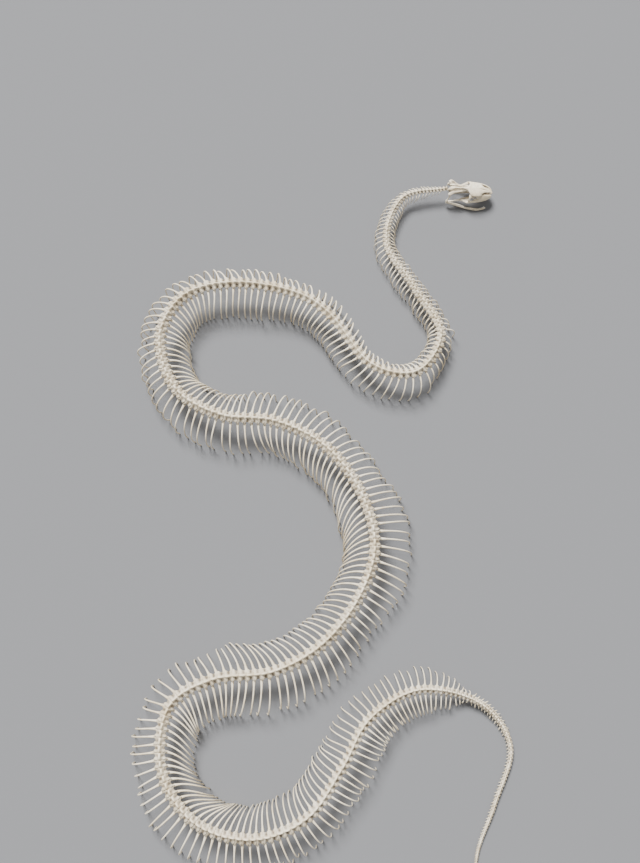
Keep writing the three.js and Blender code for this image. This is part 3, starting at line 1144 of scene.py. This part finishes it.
@dataclass(frozen=True)
class Bar:
    """A bone that follows a line, with an oval section whose sizes change along it.

    Each row is [x, y, z, half width, height above, depth below, dish]: the line's point in
    the skull's frame for the left side, the section's sizes, and how far its upper face
    is sunk, with painted shade in the sunk face. The section's height runs along the guide
    direction. hollow and hollow_end are the painted shade along it, from its first row to
    its last, and rim lessens the painted shade in the dish.
    """

    rows: Stops
    guide: tuple[float, float, float] = (0.0, 0.0, 1.0)
    rings: int = 16
    sides: int = 12
    hollow: float = 0.0
    hollow_end: float | None = None
    tone: float = 0.5
    rim: float = 0.6

    def leaning(self, outward: float, taller: float) -> "Bar":
        """Gives a taller bar whose height leans outward by a slope."""
        rows = tuple((*row[:4], row[4] * taller, *row[5:]) for row in self.rows)
        return replace(self, rows=rows, guide=(0.0, outward, 1.0))

    def moved(self, forward: float) -> "Bar":
        """Gives the same bar, moved forward."""
        return replace(self, rows=[(row[0] + forward, *row[1:]) for row in self.rows])

    def shell(self, side: Side | None = None) -> Shell:
        """Lofts the bar, mirrored for the right side.

        Args:
            side: the animal's side, or None for a bone on the middle line.

        Returns:
            One tube in the skull's frame.
        """
        rows = resampled(self.rows, self.rings)
        path, sizes = rows[:, :3], np.maximum(rows[:, 3:6], THINNEST)
        dish = rows[:, 6]
        along = unit(np.gradient(path, axis=0))
        guide = np.asarray(self.guide)
        up = unit(guide - along * (along @ guide)[:, None])
        across = np.cross(up, along)
        turn = (np.arange(self.sides) + 0.5) * 2 * math.pi / self.sides
        cos, sin = np.cos(turn), np.sin(turn)
        height = np.where(sin > 0, sizes[:, 1:2] * sin, sizes[:, 2:3] * sin)
        bowl = np.clip(sin, 0, 1) * (1 - cos**2)
        height = height - dish[:, None] * bowl
        # painted shade in the sunk upper face, deeper where the dish is deep for the bar's height
        deep = np.clip(dish[:, None] * bowl / (sizes[:, 1:2] + self.rim), 0, 1)
        rings = (
            path[:, None]
            + across[:, None] * (sizes[:, 0:1] * cos)[..., None]
            + up[:, None] * height[..., None]
        )
        ends = rings[[0, -1]].mean(axis=1)
        ends[0] -= along[0] * sizes[0].min() * BAR_END
        ends[1] += along[-1] * sizes[-1].min() * BAR_END
        flip = side.mirror if side else np.ones(3)
        # painted shade along the bar, from hollow at its first row to hollow_end at its last
        last = self.hollow if self.hollow_end is None else self.hollow_end
        along_hollow = np.linspace(self.hollow, last, self.rings)[:, None]
        hollow = np.clip(along_hollow + deep, 0, 1)
        return Shell((rings * flip)[None], (ends * flip)[None], hollow[None], self.tone)


@dataclass(frozen=True)
class Braincase:
    """Braincase, parietal and frontals in one loft from the condyle to the snout's root.

    Each row is [x, roof, brow half width, brow height, waist half width, waist height,
    base half width, base height, recess]: the section goes from the roof's ridge out to
    the brow, in to the waist, out to the base and down to a keel, and recess is the
    painted shade on the side between brow and base, under the brow.
    """

    rows: Stops = (
        (-1.0, 2.4, 1.2, 2.0, 1.8, 0.4, 1.6, -1.4, 0.2),
        (1.5, 6.0, 2.4, 4.8, 3.2, 1.8, 2.6, -3.2, 0.5),
        (4.0, 8.0, 3.6, 5.6, 6.6, 2.0, 4.4, -3.8, 0.6),
        (9.0, 8.8, 1.6, 7.6, 6.9, 1.6, 4.2, -4.2, 0.55),
        (16.0, 9.2, 1.2, 8.2, 6.2, 2.2, 3.2, -3.8, 0.55),
        (23.0, 9.3, 1.3, 8.2, 6.0, 2.4, 2.8, -3.4, 0.6),
        (29.0, 9.2, 3.2, 8.0, 5.6, 2.6, 2.6, -3.0, 0.65),
        (32.5, 9.3, 7.6, 7.6, 5.2, 2.4, 2.4, -2.8, 0.6),
        (35.0, 9.1, 11.2, 6.0, 4.6, 2.2, 2.2, -2.6, 0.75),
        (38.0, 8.8, 12.8, 4.9, 4.0, 2.2, 2.0, -2.4, 0.85),
        (42.0, 8.6, 12.7, 5.0, 3.8, 2.0, 1.8, -2.4, 0.85),
        (46.0, 8.4, 12.6, 4.8, 3.8, 1.8, 1.8, -2.4, 0.8),
        (50.0, 7.8, 11.8, 4.0, 4.0, 1.6, 1.8, -2.4, 0.75),
        (53.6, 6.6, 9.4, 3.2, 3.6, 1.4, 1.6, -2.4, 0.8),
    )
    rings: int = 44
    brow_thickness: float = 1.4
    keel: float = 0.9
    bulge: tuple[float, float] = (0.8, 0.4)
    tone: float = 0.4

    def shell(self) -> Shell:
        """Lofts the sections, with both sides alike.

        Returns:
            One tube in the skull's frame.
        """
        rows = resampled(self.rows, self.rings)
        x, roof, brow, brow_z, waist, waist_z, base, base_z, recess = rows.T
        none = np.zeros_like(x)
        # the third number of each row is its painted shade
        half = [
            (none, roof, none),
            (brow * 0.3, roof - (roof - brow_z) * 0.12, none),
            (brow * 0.68, roof - (roof - brow_z) * 0.42, none),
            (brow, brow_z, none),
            (brow * 0.96, brow_z - self.brow_thickness, recess * 0.5),
            (waist + (brow - waist) * 0.25, brow_z - self.brow_thickness * 1.7, recess),
            (waist, waist_z, recess),
            (waist + (base - waist) * 0.3, (waist_z + base_z) / 2, recess * 0.9),
            (base, base_z, recess * 0.8),
            (none, base_z - self.keel, recess * 0.6),
        ]
        points = np.stack([np.stack([x, out, up], -1) for out, up, _ in half], 1)
        deep = np.stack([shade for _, _, shade in half], 1)
        rings = closed(points, (1.0, -1.0, 1.0))
        hollow = np.clip(closed(deep), 0, 1)
        ends = rings[[0, -1]].mean(axis=1)
        ends[:, 0] += np.multiply(self.bulge, (-1, 1))
        return Shell(rings[None], ends[None], hollow[None], self.tone)


@dataclass(frozen=True)
class ToothRow:
    """Recurved teeth along a jaw: each is a cone that bends back towards the throat.

    Each row is [x, y, z, length]: the tooth bed's line for the left side and the length
    of the teeth that stand there.
    """

    rows: Stops
    count: int
    points: float = -1.0
    back: float = 0.55
    inward: float = 0.15
    stout: float = 0.19
    rooted: float = 0.12
    recurve: float = 1.7
    taper: float = 0.93
    lengths: tuple[float, float] = (0.72, 1.12)
    rings: int = 6
    sides: int = 6

    def shell(self, side: Side, rng: np.random.Generator) -> Shell:
        """Makes the row of teeth, mirrored for the right side.

        Args:
            side: the animal's side.
            rng: source of the small differences between teeth.

        Returns:
            The teeth as one shell of tubes, in the skull's frame.
        """
        where = (np.arange(self.count) + 0.5) / self.count * (len(self.rows) - 1)
        rows = spline(self.rows, where)
        length = (rows[:, 3] * rng.uniform(*self.lengths, self.count))[:, None]
        t = np.linspace(0, 1, self.rings)
        down = self.points * length * (t - self.rooted)
        aft = length * self.back * t**self.recurve
        inward = length * self.inward * t
        path = np.stack(
            [rows[:, 0:1] - aft, rows[:, 1:2] - inward, rows[:, 2:3] + down], -1
        )
        radius = length * self.stout * (1 - t**1.3 * self.taper)
        guide = np.broadcast_to([1.0, 0.0, 0.0], (self.count, 3))
        hollow = np.broadcast_to((1 - t)[None, :, None] ** 2, (self.count, self.rings, self.sides))
        shell = tube(path, radius, guide, self.sides, hollow)
        return Shell(shell.rings * side.mirror, shell.poles * side.mirror, hollow)


@dataclass(frozen=True)
class Skull:
    """The skull's bones, each a bar or loft in the skull's frame."""

    braincase: Braincase = Braincase()
    postorbital: Bar = Bar((
        (35.6, 8.6, 4.2, 2.4, 0.8, 1.0, 0), (35.0, 11.6, 3.5, 2.5, 0.9, 1.0, 0),
        (34.0, 14.2, 1.4, 1.8, 0.9, 0.9, 0), (33.0, 15.8, -1.6, 1.5, 0.9, 0.9, 0),
        (33.0, 16.6, -4.8, 1.7, 0.9, 0.9, 0),
    ), guide=(0.0, 0.6, 1.0))
    orbit_strut: Bar = Bar((
        (35.4, 12.6, 2.6, 0.9, 0.7, 0.7, 0), (38.2, 13.4, 1.2, 0.7, 0.6, 0.6, 0),
        (41.0, 14.0, -0.6, 0.7, 0.6, 0.6, 0), (44.6, 14.6, -2.4, 1.0, 0.7, 0.7, 0),
    ), rings=10, sides=8)
    prefrontal: Bar = Bar((
        (47.2, 7.6, 3.6, 3.4, 0.8, 1.0, 0), (47.6, 10.6, 2.8, 4.0, 0.9, 0.9, 0),
        (48.8, 12.4, 0.8, 3.4, 0.9, 0.9, 0.3), (50.0, 13.4, -1.8, 3.4, 0.9, 0.9, 0.2),
        (50.4, 14.2, -4.2, 4.2, 0.9, 0.9, 0),
    ), guide=(0.0, 0.7, 1.0), rings=22, sides=16)
    nasal: Bar = Bar((
        (47.0, 4.0, 7.2, 3.9, 0.6, 1.0, 0), (52.0, 3.9, 6.4, 3.8, 0.9, 1.2, 0),
        (57.0, 2.5, 4.9, 2.4, 0.9, 1.2, 0), (61.5, 1.8, 3.1, 1.7, 0.7, 1.0, 0),
        (66.5, 1.1, 0.8, 0.9, 0.6, 1.0, 0),
    ), guide=(0.0, 0.25, 1.0), rings=18)
    # the septomaxilla is painted dark as shade at its back, fading to none at its front
    septomaxilla: Bar = Bar((
        (50.0, 6.2, -1.2, 4.4, 1.2, 1.4, 0), (55.0, 6.0, -1.8, 4.6, 1.4, 1.4, 0.6),
        (60.0, 5.4, -2.0, 3.8, 1.6, 1.4, 0.3), (64.0, 4.2, -2.6, 2.7, 1.4, 1.2, 0),
        (67.5, 2.9, -3.4, 1.8, 0.9, 0.9, 0),
    ), hollow=0.9, hollow_end=0.0, rings=20)
    # the vomer is painted dark all along, as shade under the snout
    vomer: Bar = Bar((
        (44.0, 2.4, -3.0, 2.2, 0.8, 1.2, 0), (52.0, 2.8, -3.2, 2.6, 0.8, 1.4, 0),
        (60.0, 2.6, -3.4, 2.6, 0.8, 1.4, 0), (66.0, 1.8, -3.6, 1.8, 0.8, 1.2, 0),
    ), hollow=0.9)
    premaxilla: Bar = Bar((
        (62.5, 0, 2.4, 0.7, 0.8, 1.2, 0), (66.0, 0, 0.6, 1.5, 0.8, 2.0, 0),
        (68.4, 0, -1.6, 3.2, 1.0, 2.2, 0), (69.8, 0, -3.0, 2.8, 1.0, 1.6, 0),
        (70.5, 0, -3.8, 1.2, 0.7, 0.9, 0),
    ), rings=18)
    maxilla: Bar = Bar((
        (30.5, 17.2, -5.8, 0.9, 0.7, 0.7, 0), (35.0, 17.1, -5.7, 1.5, 1.5, 1.3, 0),
        (41.0, 16.4, -5.4, 1.6, 2.0, 1.7, 0), (46.5, 15.4, -5.0, 1.7, 4.0, 1.9, 0),
        (52.0, 14.2, -4.5, 1.7, 6.6, 2.0, 0), (57.5, 12.6, -4.3, 1.7, 6.8, 2.1, 0),
        (63.0, 10.0, -4.4, 1.8, 5.2, 2.0, 0), (67.0, 6.9, -4.8, 1.7, 3.2, 1.6, 0),
        (69.2, 4.4, -5.0, 1.1, 1.3, 1.0, 0),
    ), guide=(0.0, -0.4, 1.0), rings=34)
    supratemporal: Bar = Bar((
        (22.0, 3.4, 6.7, 0.8, 0.5, 0.8, 0), (16.0, 4.6, 7.2, 1.5, 0.7, 1.2, 0),
        (11.5, 6.2, 7.6, 1.7, 0.9, 1.3, 0.4), (8.0, 8.2, 8.0, 2.1, 1.2, 1.4, 1.3),
        (4.8, 10.0, 7.6, 2.9, 1.5, 1.6, 1.7), (2.2, 11.4, 7.0, 3.0, 1.6, 1.9, 0.8),
        (0.3, 12.2, 6.3, 1.9, 1.2, 1.6, 0), (-0.4, 12.6, 5.9, 0.8, 0.6, 0.9, 0),
    ), rings=28, sides=16)
    supratemporal_close: Bar = Bar((
        (21.0, 4.4, 6.2, 0.8, 0.5, 0.8, 0), (15.0, 5.6, 6.2, 1.3, 0.8, 1.2, 0),
        (9.0, 7.0, 6.6, 1.6, 0.9, 1.3, 0.2), (5.0, 8.4, 6.4, 2.0, 1.1, 1.5, 0.5),
        (2.4, 10.0, 6.0, 2.7, 1.8, 2.0, 0.6), (0.2, 11.0, 5.4, 2.5, 1.7, 2.0, 0),
        (-1.2, 11.6, 4.8, 1.2, 0.8, 1.0, 0),
    ), guide=(0.0, 0.5, 1.0), rings=28, sides=16)
    quadrate: Bar = Bar((
        (2.2, 11.2, 5.5, 1.2, 1.9, 1.8, 0), (1.4, 12.0, 2.2, 1.0, 1.5, 1.5, 0.3),
        (0.4, 13.0, -1.8, 0.8, 0.9, 0.9, 0), (-0.9, 14.2, -5.8, 0.9, 1.0, 1.0, 0),
        (-2.0, 15.1, -8.8, 1.8, 1.9, 1.8, 0), (-2.1, 15.6, -10.6, 2.2, 1.7, 1.6, 0),
    ), guide=(1.0, 0.25, 0.0), rings=22)
    pterygoid: Bar = Bar((
        (-0.5, 14.4, -10.9, 0.9, 0.7, 0.7, 0), (5.0, 14.2, -10.2, 1.2, 0.8, 0.9, 0),
        (12.0, 13.4, -9.2, 1.3, 0.9, 1.0, 0), (18.0, 12.4, -8.5, 1.9, 0.9, 1.1, 0.3),
        (24.5, 11.6, -7.9, 3.5, 1.0, 1.2, 0.7), (30.5, 10.4, -7.4, 3.4, 1.1, 1.3, 0.3),
        (38.0, 7.4, -6.9, 1.3, 1.1, 1.3, 0), (45.0, 6.4, -6.6, 1.6, 1.2, 1.3, 0),
        (52.0, 5.6, -6.4, 1.4, 1.1, 1.3, 0), (58.5, 5.0, -6.2, 0.9, 0.8, 0.9, 0),
    ), rings=36)
    ectopterygoid: Bar = Bar((
        (21.5, 12.6, -7.8, 1.4, 0.8, 0.8, 0), (25.0, 14.0, -7.4, 2.0, 0.8, 0.8, 0),
        (28.5, 15.6, -7.0, 2.1, 0.9, 0.9, 0.3), (32.0, 16.8, -6.3, 2.4, 0.9, 0.9, 0),
        (35.5, 17.0, -6.0, 1.4, 0.7, 0.7, 0),
    ))
    maxilla_teeth: ToothRow = ToothRow((
        (33.0, 16.8, -6.8, 2.0), (41.0, 15.9, -6.9, 2.6), (50.0, 14.2, -6.4, 3.0),
        (58.0, 12.0, -6.2, 3.6), (64.0, 9.0, -6.2, 3.9), (68.2, 5.4, -5.9, 3.2),
    ), 17)
    palate_teeth: ToothRow = ToothRow((
        (14.0, 11.4, -9.8, 1.3), (26.0, 9.2, -8.8, 1.7), (40.0, 6.9, -8.0, 2.0),
        (50.0, 5.6, -7.6, 2.5), (57.0, 5.0, -7.0, 2.5),
    ), 15)
    premaxilla_teeth: ToothRow = ToothRow((
        (69.2, 2.6, -4.2, 2.2), (70.0, 0.9, -4.2, 2.2),
    ), 2)


@dataclass(frozen=True)
class Strand:
    """One stretch of a jaw's line, from start to end in control points.

    sizes has rows of [share, half width, height above, depth below], and lift rows of
    [share, shift outward, shift up] from the line. dish is how far the upper face is
    sunk, with painted shade in the sunk face.
    """

    start: float
    end: float
    rings: int
    sizes: Stops
    lift: Stops = ((0, 0, 0), (1, 0, 0))
    dish: float = 0.0


THIN_STRAND = ((0, 1.0, 0.9, 0.8), (0.3, 1.0, 1.3, 1.0), (0.7, 1.1, 1.5, 1.2), (1, 0.5, 0.5, 0.6))


@dataclass(frozen=True)
class Mandible:
    """One lower jaw: a compound bone of two strands behind, and the toothed dentary.

    The jaw's line runs from the joint, forward over a bulge, to the tip, which turns in.
    """

    side: Side
    joint: float
    middle: float
    front: float
    tip: float
    forward: float
    heel: float = -3.0
    compound: Strand = Strand(0.0, 3.3, 28, (
        (0, 2.0, 1.9, 1.5), (0.12, 1.3, 1.2, 1.2), (0.35, 1.15, 1.1, 1.2),
        (0.7, 1.3, 1.5, 1.5), (1, 0.8, 0.9, 1.0),
    ))
    upper: Strand = Strand(
        0.3, 2.7, 22, THIN_STRAND,
        lift=((0, 0.2, 1.4), (0.3, 0.6, 3.0), (0.7, 0.8, 5.0), (1, 0.6, 4.4)),
    )
    splenial: Strand = Strand(
        2.5, 4.6, 16, THIN_STRAND, lift=((0, -1.2, -0.6), (1, -1.4, -0.4))
    )
    dentary: Strand = Strand(2.3, 6.0, 34, (
        (0, 0.7, 0.8, 0.8), (0.2, 1.4, 2.0, 1.9), (0.6, 1.6, 2.1, 2.1),
        (0.85, 1.6, 1.8, 2.0), (1, 1.0, 1.1, 1.2),
    ), dish=0.7)
    knots: int = 9
    sides: int = 12
    tone: float = 0.65
    teeth: int = 14
    tooth_lengths: Stops = ((3.0, 2.3), (4.2, 3.1), (5.2, 4.2), (5.85, 3.9))
    tooth_knots: int = 8
    tooth_outset: float = 0.2
    tooth_rise: float = 1.35

    def line(self) -> np.ndarray:
        """Lists the jaw's own line.

        Returns:
            Seven control points in the skull's frame, from the joint to the tip.
        """
        reach = self.middle - self.joint
        forward = self.forward
        return np.array([
            (self.heel, self.joint, -12.6),
            (3.0, self.joint + reach * 0.2, -13.4),
            (0.28 * forward, self.joint + reach * 0.6, -16.2),
            (0.5 * forward, self.middle, -18.3),
            (0.74 * forward, self.front, -19.1),
            (0.9 * forward, (self.front + self.tip) / 2, -18.8),
            (forward, self.tip, -17.6),
        ])

    def _lofted(self, strand: Strand) -> Shell:
        """Lofts one stretch of the jaw's line.

        Args:
            strand: the stretch and its sizes.

        Returns:
            One tube in the skull's frame.
        """
        share = np.linspace(0, 1, self.knots)
        rows = spline(self.line(), strand.start + (strand.end - strand.start) * share)
        rows[:, 1] += self.side.value * eased(strand.lift, share, 1)
        rows[:, 2] += eased(strand.lift, share, 2)
        sized = np.stack([eased(strand.sizes, share, column) for column in (1, 2, 3)], -1)
        sunk = strand.dish * np.sin(math.pi * share)[:, None]
        bar = Bar(np.hstack([rows, sized, sunk]), rings=strand.rings, sides=self.sides)
        return replace(bar, tone=self.tone).shell()

    def bones(self) -> list[Shell]:
        """Makes the compound bone's two strands, the splenial and the dentary."""
        return [*map(self._lofted, (self.compound, self.upper, self.splenial, self.dentary))]

    def tooth_shell(self, rng: np.random.Generator) -> Shell:
        """Stands the dentary's teeth along its upper edge, longest towards the front.

        Args:
            rng: source of the small differences between teeth.

        Returns:
            The teeth as one shell of tubes, in the skull's frame.
        """
        places, lengths = np.transpose(self.tooth_lengths)
        where = np.linspace(places[0], places[-1], self.tooth_knots)
        rows = spline(self.line(), where)
        rows[:, 1] *= self.side.value
        rows[:, 1] += self.tooth_outset
        rows[:, 2] += self.tooth_rise
        length = np.interp(where, places, lengths)
        bed = ToothRow(np.hstack([rows, length[:, None]]), self.teeth, points=1.0)
        return bed.shell(self.side, rng)


# --- the whole skeleton


@dataclass
class Skeleton:
    """All the bones, made piece by piece and put on the part's body in place of the solids they
    replace.
    """

    course: SpineCourse = field(default_factory=SpineCourse)
    vertebra: Vertebra = Vertebra()
    tail_vertebra: Vertebra = Vertebra(
        wing=(
            (-0.62, 0.46), (-0.5, 0.7), (-0.34, 0.74), (-0.14, 0.58), (0.1, 0.54),
            (0.34, 0.62), (0.54, 0.64), (0.66, 0.4),
        ),
        spine=(
            (-0.62, 0.0), (-0.34, 0.02), (-0.14, 0.12), (0.1, 0.24), (0.34, 0.26),
            (0.54, 0.2), (0.66, 0.06),
        ),
        facet=((-0.62, 0.36), (-0.34, 0.5), (0.1, 0.36), (0.66, 0.24)),
    )
    ribs: RibCage = field(default_factory=RibCage)
    processes: TailProcesses = field(default_factory=TailProcesses)
    skull: Skull = Skull()
    jaws: tuple[Mandible, Mandible] = (
        Mandible(Side.LEFT, 15.6, 13.6, 13.0, 9.0, 60.0, heel=-0.6),
        Mandible(Side.RIGHT, -15.6, -21.5, -23.0, -19.6, 62.0),
    )
    bone: BoneFinish = BoneFinish()
    skull_bone: SkullFinish = SkullFinish()
    tooth: ToothFinish = ToothFinish()
    right_maxilla_lean: float = -0.8
    right_maxilla_taller: float = 1.4
    left_quadrate_forward: float = 2.6
    seed: int = 20261
    tail_seed: int = 1000
    skull_seed: int = 2000
    jaw_seed: int = 3000

    def build(self) -> None:
        """Makes the column, the ribs, the tail, the skull and the jaws in turn."""
        self.build_trunk()
        self.build_tail()
        self.build_skull()
        self.build_jaws()

    def _declare(self, made: bpy.types.Object, slot: str, *nodes: str) -> None:
        """Puts a piece on the part's one body and hides the nodes it replaces."""
        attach(made, "root")
        if nodes:
            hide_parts(*nodes)

    def build_trunk(self) -> None:
        """Makes each length's vertebrae and its two rows of ribs."""
        for name, places, first in self.course.lengths():
            run = Run(self.course, places, np.random.default_rng(self.seed + first))
            column = Piece(f"{name}_vertebrae").add(self.vertebra.shell(run)).make(self.bone)
            self._declare(column, "body_bone", f"{name}_left", f"{name}_right")
            ribbed = replace(run, places=places[max(0, self.ribs.first - first):])
            for side in Side:
                ribs = Piece(f"{name}_ribs_{side.word}").add(self.ribs.shell(ribbed, side))
                self._declare(ribs.make(self.bone), "body_bone", f"{name}_{side.word}")

    def build_tail(self) -> None:
        """Makes each length of tail with its prongs."""
        places = self.course.vertebrae(self.course.trunk_end, self.course.length)
        share = len(places) / self.course.tail_lengths
        for index in range(self.course.tail_lengths):
            some = places[round(share * index):round(share * (index + 1))]
            rng = np.random.default_rng(self.seed + self.tail_seed + index)
            run = Run(self.course, some, rng)
            tail = Piece(f"tail_vertebrae_{index + 1}").add(self.tail_vertebra.shell(run))
            tail.add(*self.processes.shells(run))
            self._declare(tail.make(self.bone), "tail_bone", f"tail_{index + 1}")

    def _skull_piece(
        self, name: str, slot: str, shells: list[Shell], *nodes: str, teeth: bool = False
    ) -> None:
        finish = self.tooth if teeth else self.skull_bone
        made = Piece(name).add(*map(on_neck, shells)).make(finish, levels=1)
        self._declare(made, slot, *nodes)

    def build_skull(self) -> None:
        """Makes the cranium and the loose bones of each side, with their teeth."""
        skull, rng = self.skull, np.random.default_rng(self.seed + self.skull_seed)
        paired = (
            skull.postorbital, skull.orbit_strut, skull.prefrontal, skull.nasal,
            skull.septomaxilla, skull.vomer,
        )
        cranium = [skull.braincase.shell(), skull.premaxilla.shell()]
        cranium += [bar.shell(side) for bar in paired for side in Side]
        self._skull_piece("cranium", "skull_bone", cranium, "skull_cranium")
        leaning = skull.maxilla.leaning(self.right_maxilla_lean, self.right_maxilla_taller)
        own = {
            Side.LEFT: (
                skull.maxilla, skull.supratemporal,
                skull.quadrate.moved(self.left_quadrate_forward),
            ),
            Side.RIGHT: (leaning, skull.supratemporal_close, skull.quadrate),
        }
        teeth = []
        for side in Side:
            word = side.word
            maxilla, supratemporal, quadrate = own[side]
            loose = {
                "maxilla": [maxilla],
                "palate": [skull.pterygoid, skull.ectopterygoid],
                "supratemporal": [supratemporal],
                "quadrate": [quadrate],
            }
            for bone, bars in loose.items():
                shells = [bar.shell(side) for bar in bars]
                self._skull_piece(f"{bone}_{word}", "skull_bone", shells, f"skull_{bone}_{word}")
            for row in (skull.maxilla_teeth, skull.palate_teeth, skull.premaxilla_teeth):
                teeth.append(row.shell(side, rng))
        self._skull_piece("upper_teeth", "skull_bone", teeth, teeth=True)

    def build_jaws(self) -> None:
        """Makes both lower jaws and their teeth."""
        for number, jaw in enumerate(self.jaws):
            rng = np.random.default_rng(self.seed + self.jaw_seed + number)
            word = jaw.side.word
            self._skull_piece(f"lower_jaw_{word}", "jaw_bone", jaw.bones(), f"mandible_{word}")
            self._skull_piece(
                f"lower_teeth_{word}", "jaw_bone", [jaw.tooth_shell(rng)], teeth=True
            )


# --- studio


@dataclass(frozen=True)
class Lamp:
    """A broad, even light from one direction.

    spread_deg is how much of the sky it fills, which softens its shadows.
    """

    name: str
    towards: tuple[float, float, float]
    spread_deg: float
    strength: float

    def hang(self) -> None:
        """Adds the light to the scene."""
        light = bpy.data.lights.new(self.name, "SUN")
        light.angle = math.radians(self.spread_deg)
        light.energy = self.strength
        made = linked(self.name, light)
        made.rotation_euler = Vector(self.towards).to_track_quat("Z", "Y").to_euler()


@dataclass
class Studio:
    """A plain pale floor, soft overhead light and the camera."""

    camera_at: tuple[float, float, float] = (5.6, -122.3, 1312.1)
    camera_tilt_deg: float = 11.37
    lens: float = 36.0
    sensor: float = 36.0
    floor_radius: float = 40.0
    lamps: tuple[Lamp, ...] = (
        Lamp("key", (-0.45, 1.0, 1.35), 24.0, 9.5),
        Lamp("fill", (1.0, -0.8, 1.2), 70.0, 0.5),
    )
    sky: float = 0.4
    floor: FloorFinish = FloorFinish()

    def build(self) -> None:
        """Lays the floor and sets the lights, sky and camera."""
        self._floor()
        for lamp in self.lamps:
            lamp.hang()
        self._sky()
        self._camera()

    def _floor(self) -> None:
        """Lays one big round floor at the height of the skeleton's lowest points."""
        turn = np.linspace(0, 2 * math.pi, 96, endpoint=False)
        rim = np.stack([np.cos(turn), np.sin(turn), 0 * turn], -1) * self.floor_radius
        mesh = bpy.data.meshes.new("floor")
        mesh.from_pydata(rim.tolist(), [], [tuple(range(len(rim)))])
        mesh.materials.append(self.floor.material())
        linked("floor", mesh)

    def _sky(self) -> None:
        """Fills the scene with an even, neutral light."""
        world = bpy.data.worlds.new("studio")
        world.use_nodes = True
        background = world.node_tree.nodes["Background"].inputs
        background["Color"].default_value = (1, 1, 1, 1)
        background["Strength"].default_value = self.sky
        bpy.context.scene.world = world

    def _camera(self) -> None:
        """Stands the camera above the skeleton, tipped a little towards its head."""
        camera = bpy.data.cameras.new("camera")
        camera.lens = self.lens
        camera.sensor_width = self.sensor
        camera.sensor_fit = "AUTO"
        camera.clip_start = 0.01
        camera.clip_end = 50
        made = linked("camera", camera)
        made.location = [value * METRES_PER_MM for value in self.camera_at]
        made.rotation_euler = (math.radians(self.camera_tilt_deg), 0.0, 0.0)
        bpy.context.scene.camera = made


def main() -> None:
    """Loads the frame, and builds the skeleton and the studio."""
    logging.basicConfig(level=logging.INFO, format="%(name)s %(message)s")
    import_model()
    Skeleton().build()
    Studio().build()


if __name__ == "__main__":
    main()
